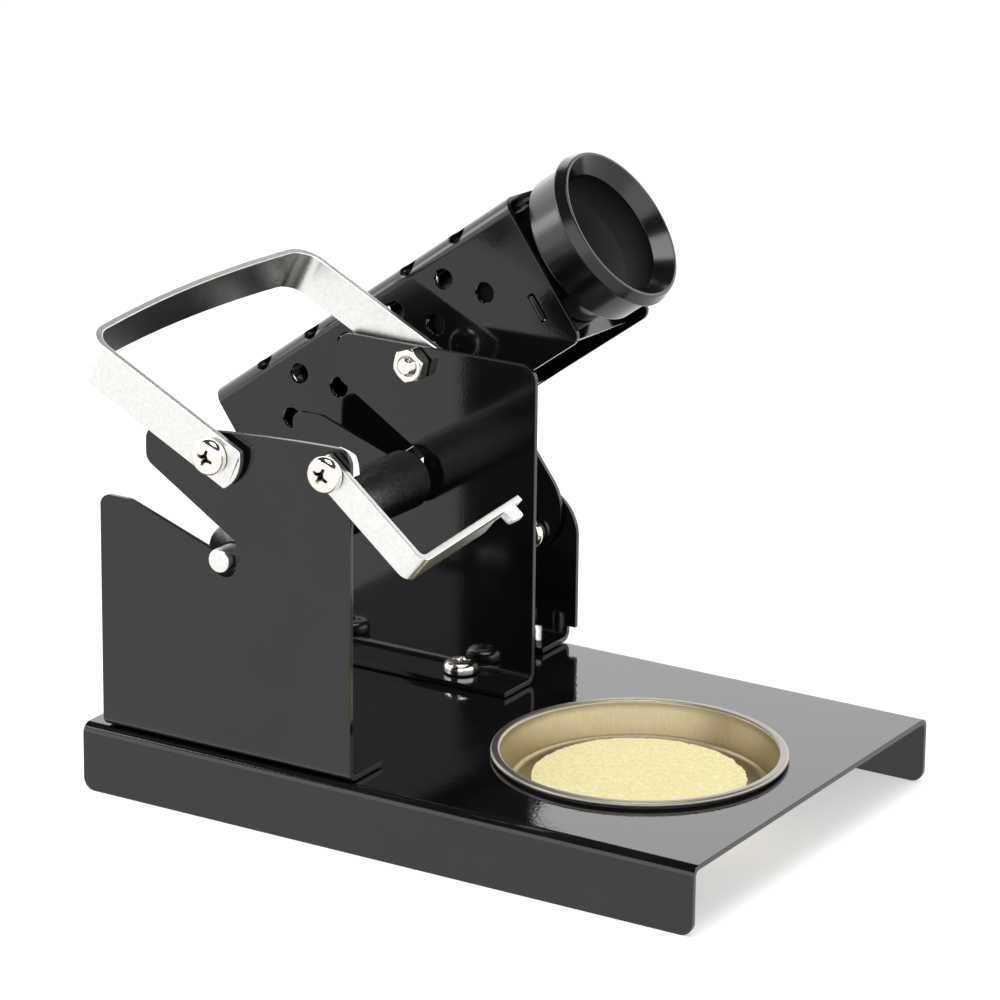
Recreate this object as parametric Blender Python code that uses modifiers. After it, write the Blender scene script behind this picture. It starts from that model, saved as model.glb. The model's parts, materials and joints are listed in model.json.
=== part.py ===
"""Soldering iron stand: folded base with a sponge tin, a solder reel holder with a carrying
bail and a wire guide, and a tilting perforated iron holder with a moulded funnel.

X runs along the base, Y from front to back and Z up. The model is built from the base's
front left bottom corner and moved at the end, so that the middle of its footprint is the origin.
"""
import math

import bmesh
import bpy
from mathutils import Matrix, Vector

MM = 0.001

# Sheet metal and clearances
SHEET = 1.2 * MM
BEND = 1.1 * MM                     # inside radius of the folded sheet
GAP = 0.3 * MM                      # between pieces that rest against each other
HOLE_CLEARANCE = 0.3 * MM           # radial, round a screw, a rod or a neck

# Base
BASE_LENGTH = 150 * MM
BASE_DEPTH = 103 * MM
BASE_HEIGHT = 15 * MM
BASE_CORNER = 2.8 * MM

# Sponge tin and sponge
TIN_X = 109.6 * MM
TIN_Y = 48.6 * MM
TIN_WALL = 0.5 * MM
TIN_MOUTH_RADIUS = 30.0 * MM        # outside of the wall just under the rim
TIN_FLOOR_RADIUS = 28.4 * MM
TIN_DEPTH = 8.6 * MM
TIN_RIM_WIDTH = 1.6 * MM
TIN_RIM_HEIGHT = 1.3 * MM
TIN_FLOOR_FILLET = 2.0 * MM
SPONGE_RADIUS = 23.2 * MM
SPONGE_THICKNESS = 2.0 * MM

# Solder reel plates
PLATE_LEFT = 5 * MM
PLATE_RIGHT = 68 * MM
PLATE_FRONT_Y = 0.6 * MM            # outer face of the front plate
PLATE_SPACING = 73.8 * MM           # outer face to outer face
PLATE_FOOT = 12.4 * MM
PLATE_TOP = 87.5 * MM
PLATE_SHOULDER = 67.5 * MM          # height of the lower lip of the rod slot
PLATE_NOSE = 17 * MM                # left edge of the upper part
SLOT_LIP_LENGTH = 7.6 * MM          # flat run of the lower lip before it slopes down
SLOT_UPPER_START = 77 * MM
SLOT_FALL = 19 * math.pi / 180      # slope of the lower lip
SLOT_EDGE = 0.9 * MM                # rounding of the slot's corners
POCKET_X = 36.7 * MM
POCKET_FLOOR = 54.7 * MM
POCKET_MOUTH = 62.9 * MM            # height of the pocket's right lip

# Reel rod and roller
ROD_RADIUS = 2.55 * MM
ROD_OVERHANG = 2.3 * MM             # past each plate
ROD_RISE = 1.2 * MM                 # front pocket over rear pocket, as the loose rod lies
ROLLER_RADIUS = 6.6 * MM
ROLLER_FRONT_GAP = 2.4 * MM
ROLLER_REAR_GAP = 2.6 * MM
ROLLER_WALL = 1.0 * MM
ROLLER_END_LIP = 0.8 * MM           # turned-in end collar

# Pan head screws and nuts, M4 and M3
M4_RADIUS = 2.0 * MM
M4_HEAD_RADIUS = 3.9 * MM
M4_HEAD_HEIGHT = 2.5 * MM
M4_NUT_FLATS = 7.0 * MM
M4_NUT_HEIGHT = 3.2 * MM
M3_RADIUS = 1.5 * MM
M3_HEAD_RADIUS = 2.9 * MM
M3_HEAD_HEIGHT = 1.9 * MM
THREAD_END = 1.2 * MM               # thread showing past a nut
NUT_TURN = 17                       # degrees

# Foot screws
FOOT_SCREW_LEFT = 18 * MM
FOOT_SCREW_RIGHT = 52.7 * MM
FOOT_SCREW_INSET = 5.9 * MM         # from the plate's outer face

# Carrying bail
BAIL_FRONT_X = 35.6 * MM            # the bail's holes in the two plates aren't in line
BAIL_FRONT_Z = 81.7 * MM
BAIL_REAR_X = 37.4 * MM
BAIL_REAR_Z = 83.7 * MM
BAIL_PLAY = 1.0 * MM                # side play against each plate
BAIL_THICKNESS = 1.6 * MM
BAIL_WIDTH = 9.7 * MM
BAIL_REACH = 37 * MM                # pivot to the middle of the cross bar
BAIL_TIP = 7.0 * MM
BAIL_BOW = 2.3 * MM
BAIL_BEND = 4.9 * MM                 # inside radius
BAIL_ANGLE = 153.6                  # degrees, from +X towards +Z

# Solder wire guide
GUIDE_X = 63.6 * MM
GUIDE_Z = 82.5 * MM
GUIDE_THICKNESS = 1.5 * MM
GUIDE_WIDTH = 6.6 * MM
GUIDE_REACH = 26.8 * MM
GUIDE_RUN = 42 * MM                 # length of the arm that crosses to the back
GUIDE_OVERBEND = 4                  # degrees past square
GUIDE_TIP = 3.4 * MM
GUIDE_TOE = 9 * MM                  # length of the narrow end
GUIDE_TOE_WIDTH = 2.6 * MM
GUIDE_TAB_START = 8 * MM            # from the end of the toe to the tab that holds the wire
GUIDE_TAB_LENGTH = 5.0 * MM
GUIDE_TAB_REACH = 2.6 * MM
GUIDE_BEND = 1.2 * MM
GUIDE_ANGLE = -39.5

# Rear bracket
BRACKET_X = 51.4 * MM
BRACKET_WIDTH = 21.5 * MM
BRACKET_FOOT = 11.7 * MM
BRACKET_FOOT_INSET = 2.1 * MM       # foot narrower than the upright, each side
TILT_Z = 40 * MM
BRACKET_SCREW_SPACING = 7.2 * MM
BRACKET_SCREW_INSET = 5.6 * MM      # from the foot's free edge
BRACKET_THREAD = 3.3 * MM

# Iron holder: a folded channel, open below, in its own frame (along, across, up)
HOLDER_TILT = 36.35                 # degrees
HOLDER_YAW = 4.23
HOLDER_ROLL = 4.12
MOUTH_X = 59.0 * MM
MOUTH_Y = 105.0 * MM
MOUTH_Z = 104.6 * MM
HOLDER_LENGTH = 91.3 * MM
HOLDER_WIDTH = 33.4 * MM
TAIL_ROOT = 6 * MM                  # where the flap that closes the tail leaves the top sheet
TAIL_BEND = 1.4 * MM
TAIL_SHORT = 3 * MM                 # from the walls' lower edges up to the end of the flap
HOLDER_RISE = 16.7 * MM             # centre line to the top
HOLDER_DROP = 18.6 * MM             # centre line to the open edge
HOLDER_BEND = 2.5 * MM
HOLDER_CORNER = 2.5 * MM
VENT_RADIUS = 2.35 * MM
VENT_PITCH = 15.1 * MM
VENT_FIRST = 15.6 * MM              # from the mouth to the first hole of the lower row
VENT_ROW_UPPER = 9.05 * MM
VENT_ROW_LOWER = 1.55 * MM
VENT_COUNT = 5
VENT_BEND_ANGLE = 30                # degrees, of the holes punched on the bends
TONGUE_RIGHT = 33.1 * MM            # from the mouth to the tongue's edge
TONGUE_WIDTH = 23.2 * MM
TONGUE_END = 7.1 * MM               # end arc's centre above the tilt screw
TONGUE_BEND = 1.1 * MM              # inside radius
TONGUE_RAISE = 0.1 * MM             # strip above the wall's edge

# Mouth plate, funnel and its ring
PLATE_SET_BACK = 5.1 * MM           # from the mouth to the plate's outer face
PLATE_TAB_LENGTH = 6.2 * MM
PLATE_TAB_HEIGHT = -7.6 * MM
PLATE_TAB_STAND = 0.3 * MM          # tab past the channel's outer face
PLATE_DROP = 17.4 * MM
PLATE_EASE = 0.2 * MM               # sides and tabs drawn in away from the tabs' roots
FUNNEL_REACH = 13.6 * MM            # mouth of the channel to the rim
FUNNEL_RIM_RADIUS = 17.9 * MM
FUNNEL_STEP_RADIUS = 18.85 * MM
FUNNEL_STEP_DEPTH = 2.7 * MM
FUNNEL_COLLAR_RADIUS = 17.6 * MM
FUNNEL_COLLAR_DEPTH = 11.9 * MM     # rim to the collar's back face
FUNNEL_LIP = 0.7 * MM
FUNNEL_CONE_RADIUS = 14.2 * MM
FUNNEL_CONE_DEPTH = 3.55 * MM
FUNNEL_BORE_RADIUS = 13.1 * MM
FUNNEL_BORE_DEPTH = 10.75 * MM
FUNNEL_THROAT_RADIUS = 10.4 * MM
SHOULDER_TAPER = 0.5 * MM           # of the shoulder that seats on the mouth plate
NECK_RADIUS = 12.6 * MM
NECK_PAST_PLATE = 3.2 * MM
RING_WIDTH = 2.0 * MM
RING_THICKNESS = 1.2 * MM

# Planes that follow from the sizes above
BASE_TOP = BASE_HEIGHT
FOOT_TOP = BASE_TOP + GAP + SHEET
FRONT_INNER = PLATE_FRONT_Y + SHEET
REAR_OUTER = PLATE_FRONT_Y + PLATE_SPACING
REAR_INNER = REAR_OUTER - SHEET
POCKET_RADIUS = ROD_RADIUS + HOLE_CLEARANCE
ROD_Z = POCKET_FLOOR + GAP + ROD_RADIUS
ROD_TILT = math.atan(ROD_RISE / (PLATE_SPACING - SHEET))
UPRIGHT_FACE = BASE_DEPTH - SHEET   # front face of the rear bracket
TONGUE_Y = UPRIGHT_FACE - GAP       # rear face of the holder's tongue

FRONT_VIEW = Matrix.Rotation(math.pi / 2, 4, "X")       # outline (x, z), thickness towards the front
SIDE_VIEW = Matrix(((0, 0, 1, 0), (1, 0, 0, 0), (0, 1, 0, 0), (0, 0, 0, 1)))  # outline (y, z), along +X


def start_scene():
    """Empty the scene and make the collections for the parts and the cutters."""
    for old in list(bpy.data.objects):
        bpy.data.objects.remove(old, do_unlink=True)
    groups = []
    for name in ("soldering_iron_stand", "cutters"):
        group = bpy.data.collections.get(name) or bpy.data.collections.new(name)
        if name not in bpy.context.scene.collection.children:
            bpy.context.scene.collection.children.link(group)
        groups.append(group)
    return groups


PARTS, CUTTERS = start_scene()


def make_material(name, colour, roughness, metallic):
    """A plain Principled material."""
    material = bpy.data.materials.new(name)
    material.use_nodes = True
    shader = material.node_tree.nodes["Principled BSDF"]
    shader.inputs["Base Color"].default_value = (*colour, 1)
    shader.inputs["Roughness"].default_value = roughness
    shader.inputs["Metallic"].default_value = metallic
    return material


BLACK_PAINT = make_material("gloss_black_paint", (0.012, 0.012, 0.013), 0.12, 0.0)
ZINC = make_material("zinc_plated_steel", (0.66, 0.66, 0.63), 0.35, 1.0)
DARK_ZINC = make_material("worn_zinc_tube", (0.30, 0.30, 0.30), 0.40, 1.0)
NICKEL = make_material("nickel_plated_steel", (0.78, 0.76, 0.72), 0.20, 1.0)
TINPLATE = make_material("lacquered_tinplate", (0.52, 0.46, 0.30), 0.30, 1.0)
BAKELITE = make_material("black_bakelite", (0.010, 0.010, 0.011), 0.22, 0.0)
CELLULOSE = make_material("cellulose_sponge", (0.90, 0.76, 0.34), 0.95, 0.0)


# ---- outlines -------------------------------------------------------------------------------

def arc(centre, radius, start, end, steps=10):
    """Points on an arc from start to end, in degrees."""
    turns = [math.radians(start + (end - start) * i / steps) for i in range(steps + 1)]
    return [(centre[0] + radius * math.cos(t), centre[1] + radius * math.sin(t)) for t in turns]


def rounded(corners, steps=4):
    """A closed outline from (x, y, radius) corners, with each corner rounded."""
    points = []
    for i, (x, y, radius) in enumerate(corners):
        corner = Vector((x, y))
        if radius == 0:
            points.append((x, y))
            continue
        back = (Vector(corners[i - 1][:2]) - corner).normalized()
        ahead = (Vector(corners[(i + 1) % len(corners)][:2]) - corner).normalized()
        half = back.angle(ahead) / 2
        centre = corner + (back + ahead).normalized() * radius / math.sin(half)
        first = corner + back * radius / math.tan(half) - centre
        last = corner + ahead * radius / math.tan(half) - centre
        turn = math.atan2(first.x * last.y - first.y * last.x, first.dot(last))
        begin = math.atan2(first.y, first.x)
        points += arc(centre, radius, math.degrees(begin), math.degrees(begin + turn), steps)
    return points


def folded(path, thickness, steps=4):
    """The closed outline of a strip bent along (x, y, inside radius) points, thick to their left."""
    right_side = []
    left_side = []
    for i, point in enumerate(path):
        here = Vector(point[:2])
        into = (here - Vector(path[i - 1][:2])).normalized() if i > 0 else None
        out = (Vector(path[i + 1][:2]) - here).normalized() if i < len(path) - 1 else None
        into = into or out
        out = out or into
        side = Vector((-into.y - out.y, into.x + out.x))
        offset = side * thickness / (1 + into.dot(out))
        turns_left = into.x * out.y - into.y * out.x > 0
        inner = point[2]
        outer = inner + thickness if inner > 0 else 0
        right_side.append((*here, outer if turns_left else inner))
        left_side.append((*(here + offset), inner if turns_left else outer))
    return rounded(right_side + left_side[::-1], steps)


def rectangle(left, right, low, high, radius=0.0):
    """A rectangle outline, counterclockwise from the lower left corner."""
    return [(left, low, radius), (right, low, radius), (right, high, radius), (left, high, radius)]


# ---- solids ---------------------------------------------------------------------------------

def add_object(name, mesh, place, group, material=None):
    """Link a mesh object at a place, in the parts or the cutters."""
    item = bpy.data.objects.new(name, mesh)
    group.objects.link(item)
    item.matrix_world = place
    if material:
        mesh.materials.clear()
        mesh.materials.append(material)
    if group is CUTTERS:
        item.hide_render = True
        item.display_type = "WIRE"
    return item


def extruded_mesh(name, outline, thickness, start=0.0):
    """A flat outline made solid, from z = start to z = start + thickness."""
    curve = bpy.data.curves.new(name, "CURVE")
    curve.dimensions = "2D"
    curve.fill_mode = "BOTH"
    curve.extrude = thickness / 2
    spline = curve.splines.new("POLY")
    spline.points.add(len(outline) - 1)
    for target, (x, y) in zip(spline.points, outline):
        target.co = (x, y, 0, 1)
    spline.use_cyclic_u = True
    holder = bpy.data.objects.new(name, curve)
    bpy.context.scene.collection.objects.link(holder)
    evaluated = holder.evaluated_get(bpy.context.evaluated_depsgraph_get())
    mesh = bpy.data.meshes.new_from_object(evaluated)
    bpy.data.objects.remove(holder)
    bpy.data.curves.remove(curve)
    work = bmesh.new()
    work.from_mesh(mesh)
    bmesh.ops.remove_doubles(work, verts=work.verts, dist=1e-7)
    bmesh.ops.translate(work, verts=work.verts, vec=(0, 0, start + thickness / 2))
    bmesh.ops.recalc_face_normals(work, faces=work.faces)
    work.to_mesh(mesh)
    work.free()
    return mesh


def turned_mesh(name, profile, steps=48):
    """A profile of (radius, height) points turned about Z; a closed loop if it leaves the axis."""
    mesh = bpy.data.meshes.new(name + "_profile")
    work = bmesh.new()
    points = [work.verts.new((radius, 0, height)) for radius, height in profile]
    for first, second in zip(points, points[1:]):
        work.edges.new((first, second))
    if profile[0][0] > 0:
        work.edges.new((points[-1], points[0]))
    work.to_mesh(mesh)
    work.free()
    holder = bpy.data.objects.new(name, mesh)
    bpy.context.scene.collection.objects.link(holder)
    screw = holder.modifiers.new("turn", "SCREW")
    screw.steps = steps
    screw.render_steps = steps
    screw.use_merge_vertices = True
    screw.merge_threshold = 1e-7
    evaluated = holder.evaluated_get(bpy.context.evaluated_depsgraph_get())
    solid = bpy.data.meshes.new_from_object(evaluated)
    bpy.data.objects.remove(holder)
    bpy.data.meshes.remove(mesh)
    work = bmesh.new()
    work.from_mesh(solid)
    bmesh.ops.recalc_face_normals(work, faces=work.faces)
    work.to_mesh(solid)
    work.free()
    solid.shade_smooth()
    solid.set_sharp_from_angle(angle=math.radians(35))
    return solid


def rod_mesh(name, radius, length, chamfer=0.0, steps=32):
    """A solid cylinder from z = 0 up, with chamfered ends."""
    profile = [(0, length), (radius - chamfer, length), (radius, length - chamfer),
               (radius, chamfer), (radius - chamfer, 0), (0, 0)]
    if chamfer == 0:
        profile = [(0, length), (radius, length), (radius, 0), (0, 0)]
    return turned_mesh(name, profile, steps)


def cut(target, cutter, operation="DIFFERENCE"):
    """Cut, join or intersect the target with a cutter object."""
    step = target.modifiers.new(operation.lower() + "_" + cutter.name, "BOOLEAN")
    step.operation = operation
    step.object = cutter
    return step


def repeated(name, mesh, places, material):
    """Numbered objects that share one mesh."""
    for i, place in enumerate(places):
        add_object(f"{name}_{i + 1}", mesh, place, PARTS, material)


def at(x, y, z):
    """A translation matrix."""
    return Matrix.Translation((x, y, z))


def cylinder_cutter(name, radius, length, place, steps=16):
    """A round cutter that starts at the place and runs along its local Z."""
    return add_object(name, rod_mesh(name, radius, length, steps=steps), place, CUTTERS)


UP = Matrix.Identity(4)
REARWARD = Matrix.Rotation(-math.pi / 2, 4, "X")        # local Z points to the back
FORWARD = Matrix.Rotation(math.pi / 2, 4, "X")          # local Z points to the front
DOWNWARD = Matrix.Rotation(math.pi, 4, "X")


# ---- fasteners ------------------------------------------------------------------------------

def evaluated_mesh(name, blank):
    """The finished mesh of a blank, once its modifiers have run."""
    bpy.context.view_layer.update()
    evaluated = blank.evaluated_get(bpy.context.evaluated_depsgraph_get())
    mesh = bpy.data.meshes.new_from_object(evaluated)
    mesh.name = name
    return mesh


def pan_screw_mesh(name, radius, head_radius, head_height, shank):
    """A cross recess pan head screw: head below z = 0, shank up from it."""
    round_off = 0.6 * head_height
    crown = arc((head_radius - round_off, round_off - head_height), round_off, 0, -90, 4)
    profile = [(0, shank), (radius * 0.8, shank), (radius, shank - radius * 0.3), (radius, 0), (head_radius, 0)]
    profile += crown + [(0, -head_height * 1.06)]
    blank = add_object(name + "_blank", turned_mesh(name, profile, 16), UP, CUTTERS)
    arm = head_radius * 0.56
    blade = head_radius * 0.13
    tip = blade * 0.7
    cross = rounded([(-arm, -tip, 0), (-blade, -blade, 0), (-tip, -arm, 0), (tip, -arm, 0),
                     (blade, -blade, 0), (arm, -tip, 0), (arm, tip, 0), (blade, blade, 0),
                     (tip, arm, 0), (-tip, arm, 0), (-blade, blade, 0), (-arm, tip, 0)])
    recess = extruded_mesh(name + "_recess", cross, head_height * 0.9, -head_height * 1.4)
    cut(blank, add_object(name + "_recess", recess, UP, CUTTERS))
    return evaluated_mesh(name, blank)


def nut_mesh(name, flats, height, screw_radius):
    """A hexagon nut from z = 0 up, bored clear of its screw."""
    hexagon = arc((0, 0), flats / 2 / math.cos(math.pi / 6), 0, 300, 5)
    blank = add_object(name + "_blank", extruded_mesh(name, hexagon, height), UP, CUTTERS)
    bore = cylinder_cutter(name + "_bore", screw_radius + HOLE_CLEARANCE, height * 3, at(0, 0, -height), 16)
    cut(blank, bore)
    return evaluated_mesh(name, blank)


def screw_and_nut(name, place, grip):
    """An M4 screw with its head outside the place, and the nut past the sheets that it grips."""
    shank = GAP + grip + GAP + M4_NUT_HEIGHT + THREAD_END
    screw = pan_screw_mesh(name + "_screw", M4_RADIUS, M4_HEAD_RADIUS, M4_HEAD_HEIGHT, shank)
    screw_item = add_object(name + "_screw", screw, place @ at(0, 0, -GAP), PARTS, NICKEL)
    nut = nut_mesh(name + "_nut", M4_NUT_FLATS, M4_NUT_HEIGHT, M4_RADIUS)
    turn = Matrix.Rotation(math.radians(NUT_TURN), 4, "Z")
    nut_item = add_object(name + "_nut", nut, place @ at(0, 0, grip + GAP) @ turn, PARTS, NICKEL)
    return screw_item, nut_item


# ---- base, tin and sponge -------------------------------------------------------------------

def foot_screw_places():
    """Where the reel plates' foot screws enter, on top of the feet."""
    front = PLATE_FRONT_Y + FOOT_SCREW_INSET
    rear = REAR_OUTER - FOOT_SCREW_INSET
    return [(x, y) for y in (front, rear) for x in (FOOT_SCREW_LEFT, FOOT_SCREW_RIGHT)]


def bracket_screw_places():
    """Where the rear bracket's screws come up through its foot."""
    y = BASE_DEPTH - BRACKET_FOOT + BRACKET_SCREW_INSET
    return [(BRACKET_X + side * BRACKET_SCREW_SPACING / 2, y) for side in (-1, 1)]


def build_base():
    """The folded base, open at both ends, with its tin hole and screw holes."""
    path = [(BASE_DEPTH, 0, 0), (BASE_DEPTH, BASE_HEIGHT, BEND), (0, BASE_HEIGHT, BEND), (0, 0, 0)]
    mesh = extruded_mesh("base_channel", folded(path, SHEET), BASE_LENGTH)
    base = add_object("base_channel", mesh, SIDE_VIEW, PARTS, BLACK_PAINT)
    over = 2 * SHEET
    corners = [(0, 0, BASE_CORNER), (BASE_LENGTH, 0, BASE_CORNER), (BASE_LENGTH, BASE_HEIGHT + over, 0),
               (0, BASE_HEIGHT + over, 0)]
    ends = extruded_mesh("base_ends", rounded(corners), BASE_DEPTH + 2 * over, -BASE_DEPTH - over)
    cut(base, add_object("base_ends", ends, FRONT_VIEW, CUTTERS), "INTERSECT")
    below = BASE_TOP - 2 * SHEET
    hole = TIN_MOUTH_RADIUS + GAP
    cut(base, cylinder_cutter("tin_hole", hole, 3 * SHEET, at(TIN_X, TIN_Y, below), 40))
    for i, (x, y) in enumerate(foot_screw_places()):
        cut(base, cylinder_cutter(f"foot_hole_{i}", M4_RADIUS + HOLE_CLEARANCE, 3 * SHEET, at(x, y, below)))
    for i, (x, y) in enumerate(bracket_screw_places()):
        cut(base, cylinder_cutter(f"bracket_hole_{i}", M3_RADIUS + HOLE_CLEARANCE, 3 * SHEET, at(x, y, below)))


def build_tin():
    """The pressed tin that hangs in the base by its rolled rim."""
    rim_low = BASE_TOP + GAP
    rim_top = rim_low + TIN_RIM_HEIGHT
    floor = rim_top - TIN_DEPTH - TIN_WALL
    curl = TIN_RIM_HEIGHT / 2
    inside = TIN_MOUTH_RADIUS - TIN_WALL
    centre = (TIN_FLOOR_RADIUS - TIN_FLOOR_FILLET, floor + TIN_FLOOR_FILLET)
    profile = [(0, floor + TIN_WALL)] + arc(centre, TIN_FLOOR_FILLET - TIN_WALL, -90, 0, 4)
    profile += [(inside, rim_low), (inside + curl, rim_top)]
    profile += arc((TIN_MOUTH_RADIUS + TIN_RIM_WIDTH - curl, rim_low + curl), curl, 90, -90, 5)
    profile += [(TIN_MOUTH_RADIUS, rim_low)] + arc(centre, TIN_FLOOR_FILLET, 0, -90, 4) + [(0, floor)]
    add_object("sponge_tin", turned_mesh("sponge_tin", profile, 40), at(TIN_X, TIN_Y, 0), PARTS, TINPLATE)
    return floor + TIN_WALL


def build_sponge(floor):
    """The round sponge, loose on the tin's floor."""
    bottom = floor + GAP
    top = bottom + SPONGE_THICKNESS
    edge = 0.35 * MM
    profile = [(0, top), (SPONGE_RADIUS - edge, top), (SPONGE_RADIUS, top - edge),
               (SPONGE_RADIUS, bottom + edge), (SPONGE_RADIUS - edge, bottom), (0, bottom)]
    add_object("sponge", turned_mesh("sponge", profile, 40), at(TIN_X, TIN_Y, 0), PARTS, CELLULOSE)


# ---- solder reel holder ---------------------------------------------------------------------

def plate_outline():
    """The reel plate seen from the front, with the slot that the rod drops into."""
    left_wall = POCKET_X - POCKET_RADIUS
    right_wall = POCKET_X + POCKET_RADIUS
    lip_end = PLATE_LEFT + SLOT_LIP_LENGTH
    lip_foot = PLATE_SHOULDER - (left_wall - lip_end) * math.tan(SLOT_FALL)
    below = BASE_TOP - SHEET
    lip_drop = min(0, (POCKET_MOUTH - SLOT_EDGE - ROD_Z) / POCKET_RADIUS)   # a lip below the pocket's centre
    seat_end = 360 + math.degrees(math.asin(max(-1, lip_drop)))
    lower = rounded([(PLATE_LEFT, below, 0), (PLATE_LEFT, PLATE_SHOULDER, 2.5 * MM),
                     (lip_end, PLATE_SHOULDER, 3 * MM), (left_wall, lip_foot, SLOT_EDGE), (left_wall, below, 0)])
    upper = rounded([(right_wall, below, 0), (right_wall, POCKET_MOUTH, SLOT_EDGE),
                     (PLATE_NOSE, SLOT_UPPER_START, 3 * MM), (PLATE_NOSE, PLATE_TOP, 3 * MM),
                     (PLATE_RIGHT, PLATE_TOP, 3.5 * MM), (PLATE_RIGHT, below, 0)])
    return lower[:-1] + arc((POCKET_X, ROD_Z), POCKET_RADIUS, 180, seat_end) + upper[1:]


def build_reel_plate(name, outer_y, foot_end):
    """A reel plate from its outer face, with a foot turned in along the base to foot_end."""
    low = BASE_TOP + GAP
    path = [(foot_end, low, 0), (outer_y, low, BEND), (outer_y, PLATE_TOP + SHEET, 0)]
    if foot_end > outer_y:
        path = path[::-1]
    over = 2 * SHEET
    section = extruded_mesh(name, folded(path, SHEET), PLATE_RIGHT - PLATE_LEFT + 2 * over, -over)
    plate = add_object(name, section, at(PLATE_LEFT, 0, 0) @ SIDE_VIEW, PARTS, BLACK_PAINT)
    start = min(outer_y, foot_end) - over
    outline = extruded_mesh(name + "_outline", plate_outline(), PLATE_FOOT + 2 * over, -start - PLATE_FOOT - 2 * over)
    cut(plate, add_object(name + "_outline", outline, FRONT_VIEW, CUTTERS), "INTERSECT")
    holes = [(BAIL_REAR_X, BAIL_REAR_Z)]
    if foot_end > outer_y:
        holes = [(BAIL_FRONT_X, BAIL_FRONT_Z), (GUIDE_X, GUIDE_Z)]
    for i, (x, z) in enumerate(holes):
        place = at(x, outer_y - over, z) @ REARWARD
        cut(plate, cylinder_cutter(f"{name}_hole_{i}", M4_RADIUS + HOLE_CLEARANCE, 2 * over, place))
    for i, (x, y) in enumerate(foot_screw_places()):
        if abs(y - outer_y) < PLATE_FOOT:
            place = at(x, y, BASE_TOP - SHEET)
            cut(plate, cylinder_cutter(f"{name}_foot_hole_{i}", M4_RADIUS + HOLE_CLEARANCE, 2 * over, place))


def build_foot_fasteners():
    """The four screws through the reel plates' feet, and their nuts under the base."""
    grip = 2 * SHEET + GAP
    shank = GAP + grip + GAP + M4_NUT_HEIGHT + THREAD_END
    screw = pan_screw_mesh("foot_screw", M4_RADIUS, M4_HEAD_RADIUS, M4_HEAD_HEIGHT, shank)
    nut = nut_mesh("foot_nut", M4_NUT_FLATS, M4_NUT_HEIGHT, M4_RADIUS)
    heads = [at(x, y, FOOT_TOP + GAP) @ DOWNWARD for x, y in foot_screw_places()]
    nuts = [at(x, y, BASE_TOP - SHEET - GAP) @ DOWNWARD for x, y in foot_screw_places()]
    repeated("foot_screw", screw, heads, NICKEL)
    repeated("foot_nut", nut, nuts, NICKEL)


def build_rod_and_roller():
    """The rod that rests in the two pockets, and the tube that turns on it."""
    middle = PLATE_FRONT_Y + SHEET / 2
    frame = at(POCKET_X, middle, ROD_Z + ROD_RISE) @ Matrix.Rotation(-ROD_TILT, 4, "X") @ REARWARD
    start = -SHEET / 2 - ROD_OVERHANG
    length = PLATE_SPACING + 2 * ROD_OVERHANG
    rod = rod_mesh("reel_rod", ROD_RADIUS, length, 0.4 * MM, 24)
    add_object("reel_rod", rod, frame @ at(0, 0, start), PARTS, ZINC)
    front = SHEET / 2 + ROLLER_FRONT_GAP
    tube = PLATE_SPACING - 2 * SHEET - ROLLER_FRONT_GAP - ROLLER_REAR_GAP
    bore = ROD_RADIUS + HOLE_CLEARANCE
    inner = ROLLER_RADIUS - ROLLER_WALL
    edge = 0.3 * MM
    profile = [(bore, tube), (ROLLER_RADIUS - edge, tube), (ROLLER_RADIUS, tube - edge),
               (ROLLER_RADIUS, edge), (ROLLER_RADIUS - edge, 0), (bore, 0), (bore, ROLLER_END_LIP),
               (inner, ROLLER_END_LIP), (inner, tube - ROLLER_END_LIP), (bore, tube - ROLLER_END_LIP)]
    roller = turned_mesh("reel_roller", profile, 32)
    add_object("reel_roller", roller, frame @ at(0, 0, front), PARTS, DARK_ZINC)


def strap_outline(far, tip, width):
    """Seen from the front: a strap's end with a flat curve, and its two sides left open."""
    bulge = width * 0.16
    radius = (bulge ** 2 + (width / 2) ** 2) / (2 * bulge)
    half = math.degrees(math.asin(0.6 * width / radius))
    end = arc((radius - tip, 0), radius, 180 - half, 180 + half, 8)
    return end + [(far, -0.6 * width), (far, 0.6 * width)]


def bail_frame():
    """The bail's own frame on its pivot line: X along the legs, Y along the line."""
    front = Vector((BAIL_FRONT_X, PLATE_FRONT_Y, BAIL_FRONT_Z))
    line = (Vector((BAIL_REAR_X, REAR_OUTER, BAIL_REAR_Z)) - front).normalized()
    lean = math.radians(BAIL_ANGLE)
    leg = Vector((math.cos(lean), 0, math.sin(lean)))
    leg = (leg - line * leg.dot(line)).normalized()
    turn = Matrix((leg, line, leg.cross(line))).transposed().to_4x4()
    return Matrix.Translation(front - line * PLATE_FRONT_Y) @ turn


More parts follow.
